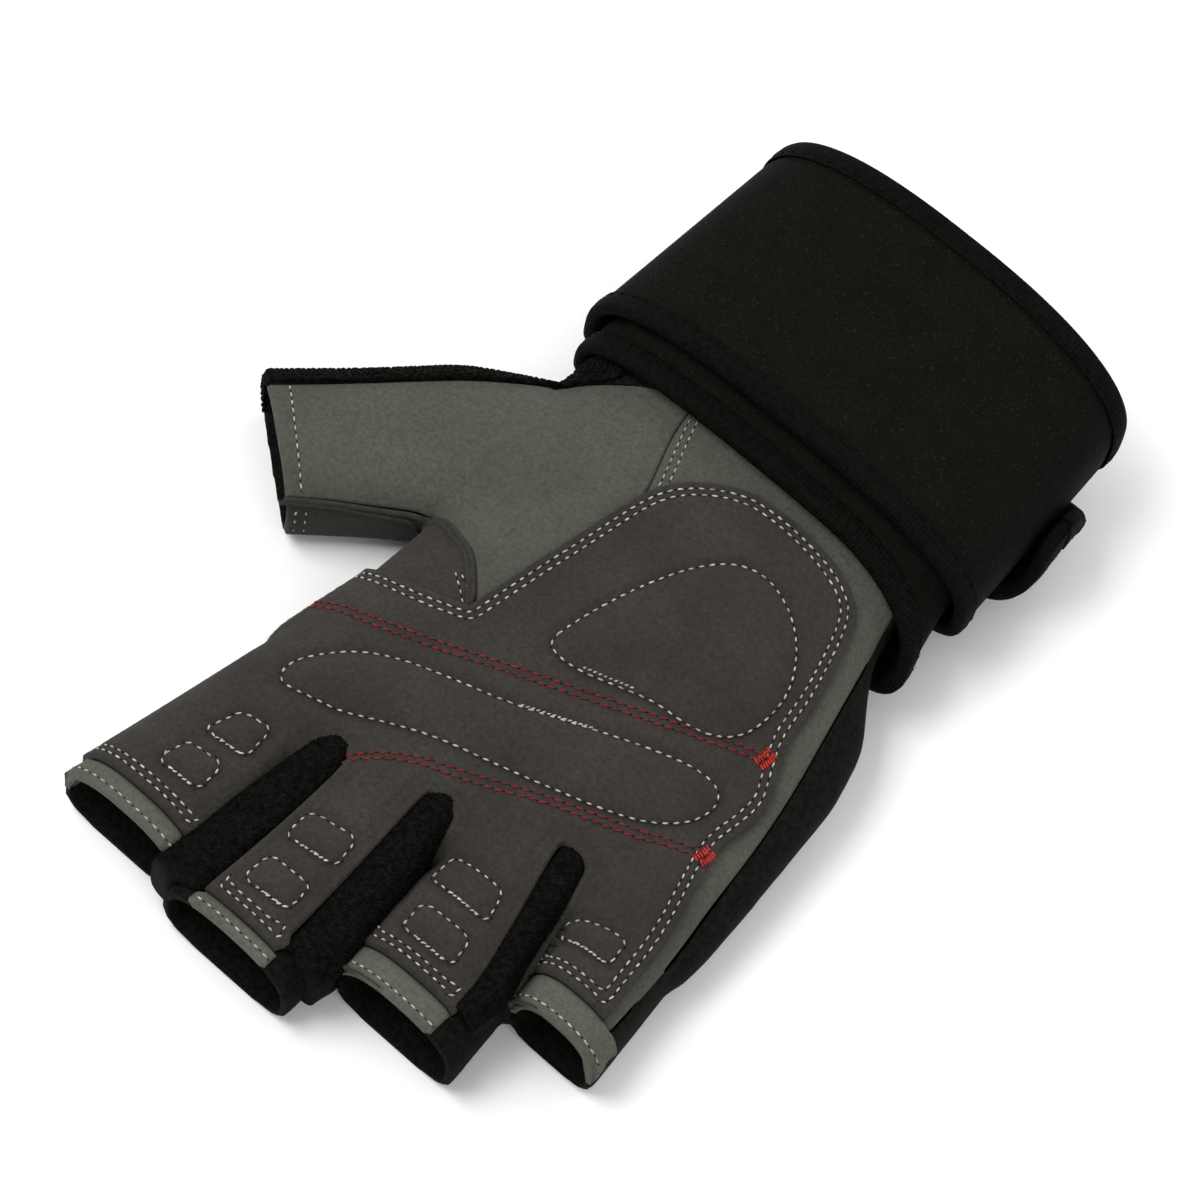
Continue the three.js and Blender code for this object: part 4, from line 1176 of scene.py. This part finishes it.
def sew(name, lines, thread, pitch=2.0, length=1.2, thickness=0.38, slant=0.0, seed=1):
    points, outs, edges = [], [], []
    for line in lines:
        start = len(points)
        points += [p for p, _ in line]
        outs += [o for _, o in line]
        edges += [(start + k, start + k + 1) for k in range(len(line) - 1)]
    mesh = bpy.data.meshes.new(name)
    mesh.from_pydata(in_frame(points).tolist(), edges, [])
    kept = mesh.attributes.new("out", "FLOAT_VECTOR", "POINT")
    kept.data.foreach_set("vector", np.array(outs, np.float32).ravel())
    piece = bpy.data.objects.new(name, mesh)
    scene.collection.objects.link(piece)
    grown(piece, thread_tree, pitch=pitch * mm, length=length * mm, thickness=thickness * mm,
          slant=slant, thread=thread, hole=needle_hole_shade, seed=seed)
    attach(piece, "root")
    return piece


def thread_finish(name, colour, pale, specular=0.2):
    material, tree, shader, place = finish_material(name, 0.7, 0.0, (1, 1, 1, 1), specular)
    coloured(tree, shader, noise_field(tree, place, 420, 4, 0.75, 0.35, 0.65), colour, pale)
    bumped(tree, shader, noise_field(tree, place, 2600, 2, 0.6), 0.00008)
    return material


white_thread = thread_finish("white_thread", (0.22, 0.21, 0.175, 1), (0.52, 0.50, 0.43, 1))
red_thread = thread_finish("red_thread", (0.085, 0.007, 0.008, 1), (0.21, 0.013, 0.015, 1))
tack_thread = thread_finish("red_tack_thread", (0.25, 0.012, 0.010, 1), (0.48, 0.030, 0.020, 1))
sunk = 0.08
strips_tree = plan_tree(knit_loops.values())


def clear_of_strips(x, y):
    # No row runs beside the knit strips, only across the finger ends and round the palm
    near_hem = any(left * half_width - 2 < x < right * half_width + 2
                   and y < end * reach + depth * hem_depth + 3.8
                   for left, right, end, depth in hem_rows.values())
    return near_hem or strips_tree.find((x, y, 0))[2] > 5


edge_lines = [line for row in suede_rows for line in suede.rows_at(row, where=clear_of_strips, lift=sunk)]
sew("suede_edge_stitches", edge_lines, white_thread)
sew("pad_stitches", [line for pad in pads.values() for line in pad.rows_at(stitch_from_edge, lift=sunk)],
    white_thread, seed=2)
hem_lines = []
for name, (left, right, end, depth) in hem_rows.items():
    row = [((left + 0.04) * half_width, end * reach + 1.3), ((right - 0.03) * half_width, end * reach + 1.3)]
    hem_lines.append(hems[name].line_over(row, sunk))
hem_lines.append(thumb_panel.line_over(on_thumb([(0.955, -0.37), (0.94, 0.0), (0.925, 0.27)]), sunk))
for x, y in ((-52.5, -26.6), (-51.1, -25.3)):
    aside = np.array((thumb_across[0], thumb_across[1], 0))
    hem_lines.append([(np.array((x, y, z)) + aside * 0.3, aside) for z in np.linspace(11, 5.4, 9)])
sew("hem_stitches", hem_lines, white_thread, seed=3)
cuff_seam = [(-0.255, 0.37), (-0.205, 0.30), (-0.14, 0.222), (-0.105, 0.165)]
seam_lines = [
    palm_base.line_over([(x * half_width + aside, y * reach + aside * 0.5) for x, y in cuff_seam], sunk)
    for aside in (0.9, 2.2)]
for aside in (0.0, 1.3):
    seam_lines.append(over_form([(-18.6 - aside, -18.6 - aside * 0.3), (-14.8 - aside, -20.9 - aside * 0.6),
                                 (-12.2 - aside, -22.6 - aside)], 0.25))
sew("seam_stitches", seam_lines, white_thread, 1.9, 1.1, 0.34, seed=6)


def tack_row(start, end, piece):
    return piece.line_over([start, ((start[0] + end[0]) / 2 + 0.15, (start[1] + end[1]) / 2), end], 0.22)


# Where a row begins, the machine runs back and forth, so that the stitches lie thick there
tack_lines = [tack_row(*on_hand([(0.224, -0.186), (0.400, -0.156)]), suede),
              tack_row(*on_hand([(0.163, -0.318), (0.400, -0.266)]), suede)]
for (x0, y0), _, _, (x3, y3) in pad_corners.values():
    ends = [(x0 + (x3 - x0) * share, y0 + (y3 - y0) * share + 0.002) for share in (0.35, 0.8)]
    tack_lines.append(tack_row(*on_hand(ends), suede))
sew("tack_stitches", tack_lines, white_thread, 0.95, 1.0, 0.4, 0.45, seed=8)
red_upper = on_hand([(-0.69, -0.395), (-0.29, -0.345), (0.065, -0.274), (0.35, -0.216), (0.63, -0.154),
                     (0.92, -0.082)])
red_lower = on_hand([(-0.16, -0.629), (-0.102, -0.591), (-0.023, -0.555), (0.083, -0.519), (0.32, -0.464),
                     (0.596, -0.402), (0.804, -0.357), (1.02, -0.302)])
sew("red_stitches", [suede.line_over([(x, y + shift) for x, y in row], 0.1) for row in (red_upper, red_lower)
                     for shift in (-0.8, 0.8)], red_thread, 2.0, 1.75, 0.5, 0.1, seed=4)
bar_lines = []
for x, y in (red_upper[-1], red_lower[-1]):
    for aside in (-0.9, 0.5):
        bar = [(x + aside, y - 1.7), (x + aside + 0.2, y), (x + aside, y + 1.7)]
        bar_lines.append(suede.line_over(bar, 0.25))
sew("red_bars", bar_lines, tack_thread, 0.55, 1.6, 0.5, 1.35, seed=9)


# The wrist wrap: one band of smooth matt neoprene, about 0.4 metres long, wound twice
# round the wrist. It starts inside, closes on itself on the little-finger side with a
# rounded tab, and its outer turn lies a little further up the wrist than the inner one.
wrap_width = 53
wrap_thickness = 2
wrap_turns = 2.12
wrap_start_y = 36
wrap_step_y = 7.5
wrap_lead = 11
wrap_flare = 4
wrap_far_rise = 8
wrap_left_narrowing = 2.1
wrap_right_narrowing = 4.9
wrap_left = 45.2
wrap_right = 56.3
wrap_height = 34.7
wrap_pitch = 4.2
wrap_rest = 0.15
binding_width = 4.2
binding_thickness = 0.7
tape_bulge = 0.5
tab_width = 28
tab_tip_width = 0.6
tab_shift = 2
lead_to = 0.3
wrap_end_angle = math.radians(5)
wrap_middle_y = wrap_start_y + wrap_step_y + wrap_width / 2
shift_span = (1.5, 1.2)
taper_span = (0.5, 0.28)
tip_span = 0.14


def span_share(turn, span):
    return ramp(turn, wrap_turns - span[0], wrap_turns - span[1])


def wrap_edges(turn):
    shift = wrap_step_y * span_share(turn, shift_span)
    lead = wrap_lead * (1 - ramp(turn, 0, lead_to))
    taper = span_share(turn, taper_span)
    tip = np.clip((turn - wrap_turns + tip_span) / tip_span, 0, 1)
    straight = wrap_width + (tab_width - wrap_width) * taper
    width = tab_tip_width + (straight - tab_tip_width) * np.sqrt(1 - tip * tip)
    middle = wrap_middle_y - wrap_step_y + shift + tab_shift * taper
    return middle - width / 2 - lead, middle + width / 2


def wrap_places(turn, y, depth):
    angle = wrap_end_angle + (turn - wrap_turns) * 2 * math.pi
    share = (y - wrap_start_y) / (wrap_width + wrap_step_y)
    lead = 1 - ramp(turn, 0, lead_to)
    mouth = np.clip((wrap_start_y + wrap_step_y - y) / (wrap_lead + wrap_step_y), 0, 1)
    inset = (wrap_turns - turn) * wrap_pitch + depth - wrap_flare * lead * mouth
    left = -wrap_left + share * wrap_left_narrowing + inset
    right = wrap_right - share * wrap_right_narrowing - inset
    base_inset = inset - wrap_pitch * (wrap_end_angle + math.pi / 2) / (2 * math.pi)
    bottom = wrap_rest + binding_thickness + gap + base_inset
    top = wrap_height + share * wrap_far_rise - inset
    side = bottom + (top - bottom) * side_share
    c, s = np.cos(angle), np.sin(angle)
    u = (right - left) / 2 * np.sign(c) * np.abs(c) ** crown_power
    rise = np.where(s >= 0, (top - side) * np.abs(s) ** crown_power,
                    (bottom - base_press - side) * np.abs(s) ** base_power)
    z = np.maximum(bottom, side + rise)
    return np.stack([(left + right) / 2 + u, y + 0 * u, z], -1)


def band(name, sections):
    """A closed band through sections, each with its y, depth and turn for every step along it."""
    rings = np.stack([wrap_places(at, y, depth) for y, depth, at in sections], 1)
    around = rings.shape[1]
    piece = recalculated(new_object(name, *tube_mesh(rings)))
    run = np.concatenate([[0], np.cumsum(np.linalg.norm(np.diff(rings[:, 0], axis=0), axis=1))])
    widths = np.median(np.linalg.norm(np.diff(rings, axis=1), axis=2), axis=0)
    across = np.concatenate([[0], np.cumsum(widths)])
    route = piece.data.uv_layers.new(name="route")
    vertex = np.empty(len(piece.data.loops), int)
    piece.data.loops.foreach_get("vertex_index", vertex)
    place = np.stack([run[vertex // around], across[vertex % around]], 1) * mm
    route.data.foreach_set("uv", place.astype(np.float32).ravel())
    piece.data.shade_smooth()
    return piece


fine_turns = np.concatenate([np.linspace(0, wrap_turns - tip_span, 420),
                             wrap_turns - tip_span * (1 - np.sin(np.linspace(0, math.pi / 2, 50)[1:]))])
near_edge, far_edge = wrap_edges(fine_turns)
stitch_inset = binding_width - 0.9
pull = 0.35
outer_side = []
for share in np.linspace(0, 1, 27):
    y = near_edge + (far_edge - near_edge) * share
    rim_distance = np.minimum(y - near_edge, far_edge - y)
    dip = pull * np.exp(-((rim_distance - stitch_inset) / 1.2) ** 2)
    outer_side.append((y, dip + 0 * y, fine_turns))
inner_side = [(y, wrap_thickness - depth, at) for y, depth, at in outer_side[::-1]]
wrap_piece = band("wrist_wrap_neoprene", outer_side + inner_side)

neoprene, tree, shader, place = finish_material("neoprene", 0.75, 0.0, (0.6, 0.6, 0.6, 1), 0.04)
fine = use_group(tree, knit_group, place=place, loops_per_metre=1700.0)
specks = noise_field(tree, place, 1900, 2, 0.5, 0.60, 0.73)
soft_black = mix_colour(tree, fine["Mottle"], (0.0036, 0.0033, 0.0024, 1), (0.0048, 0.0044, 0.0033, 1))
coloured(tree, shader, calculate(tree, "MULTIPLY", specks, 0.8), soft_black, (0.017, 0.0162, 0.0135, 1))
bumped(tree, shader, fine["Height"], 0.00004)
put_on(wrap_piece, neoprene)
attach(wrap_piece, "root")
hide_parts("wrist_wrap")


# Binding: ribbed tape folded over both long edges of the band and sewn through with one row
# of black thread that puckers the neoprene beside it.
def beside_edge(edge, inward, along):
    # Place along the wrist and turn, at a distance in from the edge, also round the tab's tip
    middle = wrap_places(fine_turns, edge, 0 * edge)
    speed = np.linalg.norm(np.gradient(middle[:, (0, 2)], fine_turns, axis=0), axis=1)
    ahead = np.gradient(edge, fine_turns)
    length = np.hypot(speed, ahead)
    back, inside = -np.abs(ahead) / length, inward * speed / length
    back[fine_turns < wrap_turns - tip_span] = 0
    inside[fine_turns < wrap_turns - tip_span] = inward
    return edge + inside * along, fine_turns + back * along / speed


def tape_sections(edge, inward):
    outline = [(binding_width, -0.1), (binding_width, -0.35), (binding_width - 0.3, -tape_bulge),
               (stitch_inset, -tape_bulge + 0.12), (binding_width / 2, -tape_bulge - 0.15),
               (0.5, -tape_bulge), (-0.3, -0.2), (-0.65, wrap_thickness * 0.3), (-0.65, wrap_thickness * 0.7),
               (-0.3, wrap_thickness + 0.2), (0.5, wrap_thickness + tape_bulge),
               (binding_width, wrap_thickness + tape_bulge), (binding_width, wrap_thickness + 0.1),
               (0, wrap_thickness + 0.1), (-gap, wrap_thickness / 2), (0, -0.1)]
    sections = []
    for along, depth in outline:
        y, turns = beside_edge(edge, inward, along)
        sections.append((y, depth + 0 * edge, turns))
    return sections


binding, tree, shader, place = finish_material("binding_tape", 0.75, 0.0, (0.7, 0.7, 0.7, 1), 0.045)
ribs_per_metre, wefts_per_metre = 1150, 1400
route = place_node(tree, "ShaderNodeUVMap", uv_map="route")
ribs = place_node(tree, "ShaderNodeSeparateXYZ", {0: route[0]})
wave = calculate(tree, "SINE", calculate(tree, "MULTIPLY", ribs[0], 2 * math.pi * ribs_per_metre))
weft = calculate(tree, "SINE", calculate(tree, "MULTIPLY", ribs[1], 2 * math.pi * wefts_per_metre))
tape_height = calculate(tree, "ADD", wave, calculate(tree, "MULTIPLY", weft, 0.5))
tape_fuzz = noise_field(tree, place, 900, 3, 0.6, 0.35, 0.7)
coloured(tree, shader, tape_fuzz, (0.0017, 0.0016, 0.0011, 1), (0.0050, 0.0046, 0.0035, 1))
bumped(tree, shader, tape_height, 0.00010)
for name, edge, inward, node in (("near_binding_tape", near_edge, 1, "wrap_binding_near"),
                                 ("far_binding_tape", far_edge, -1, "wrap_binding_far")):
    tape = band(name, tape_sections(edge, inward))
    put_on(tape, binding)
    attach(tape, "root")
    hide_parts(node)

black_thread = thread_finish("black_thread", (0.0015, 0.0015, 0.0011, 1), (0.0048, 0.0046, 0.0036, 1), 0.04)
thread_depth = -tape_bulge + 0.2
wrap_rows = []
for edge, inward in ((near_edge, 1), (far_edge, -1)):
    y, turns = beside_edge(edge, inward, stitch_inset)
    line = wrap_places(turns, y, thread_depth + 0 * y)
    out = wrap_places(turns, y, thread_depth - 1 + 0 * y) - line
    wrap_rows.append(list(zip(line, out / np.linalg.norm(out, axis=1)[:, None])))
sew("wrap_stitches", wrap_rows, black_thread, 3.2, 2.5, 0.42, seed=5)


# Hook patch: a stiff moulded strip of small hooks on the underside of the tab, hidden from
# view, that grips the loop face of the turn below it.
patch_width = 17.4
patch_turns = np.linspace(wrap_turns - 0.25, wrap_turns - 0.11, 40)
patch_middle = wrap_middle_y + tab_shift
patch_top, patch_bottom = wrap_thickness + gap, wrap_pitch - gap
patch_outline = [(-1, patch_top), (1, patch_top), (1, patch_bottom), (-1, patch_bottom)]
patch = band("hook_patch_strip", [
    (patch_middle + side * patch_width / 2 + 0 * patch_turns, depth + 0 * patch_turns, patch_turns)
    for side, depth in patch_outline])
hook_material, tree, shader, place = finish_material("hook_fastener", 0.5, 0.0, (1, 1, 1, 1), 0.5)
fine = use_group(tree, knit_group, place=place, loops_per_metre=700.0)
coloured(tree, shader, fine["Mottle"], (0.004, 0.004, 0.004, 1), (0.010, 0.010, 0.010, 1))
bumped(tree, shader, fine["Height"], 0.0003)
put_on(patch, hook_material)
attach(patch, "root")
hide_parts("hook_patch")
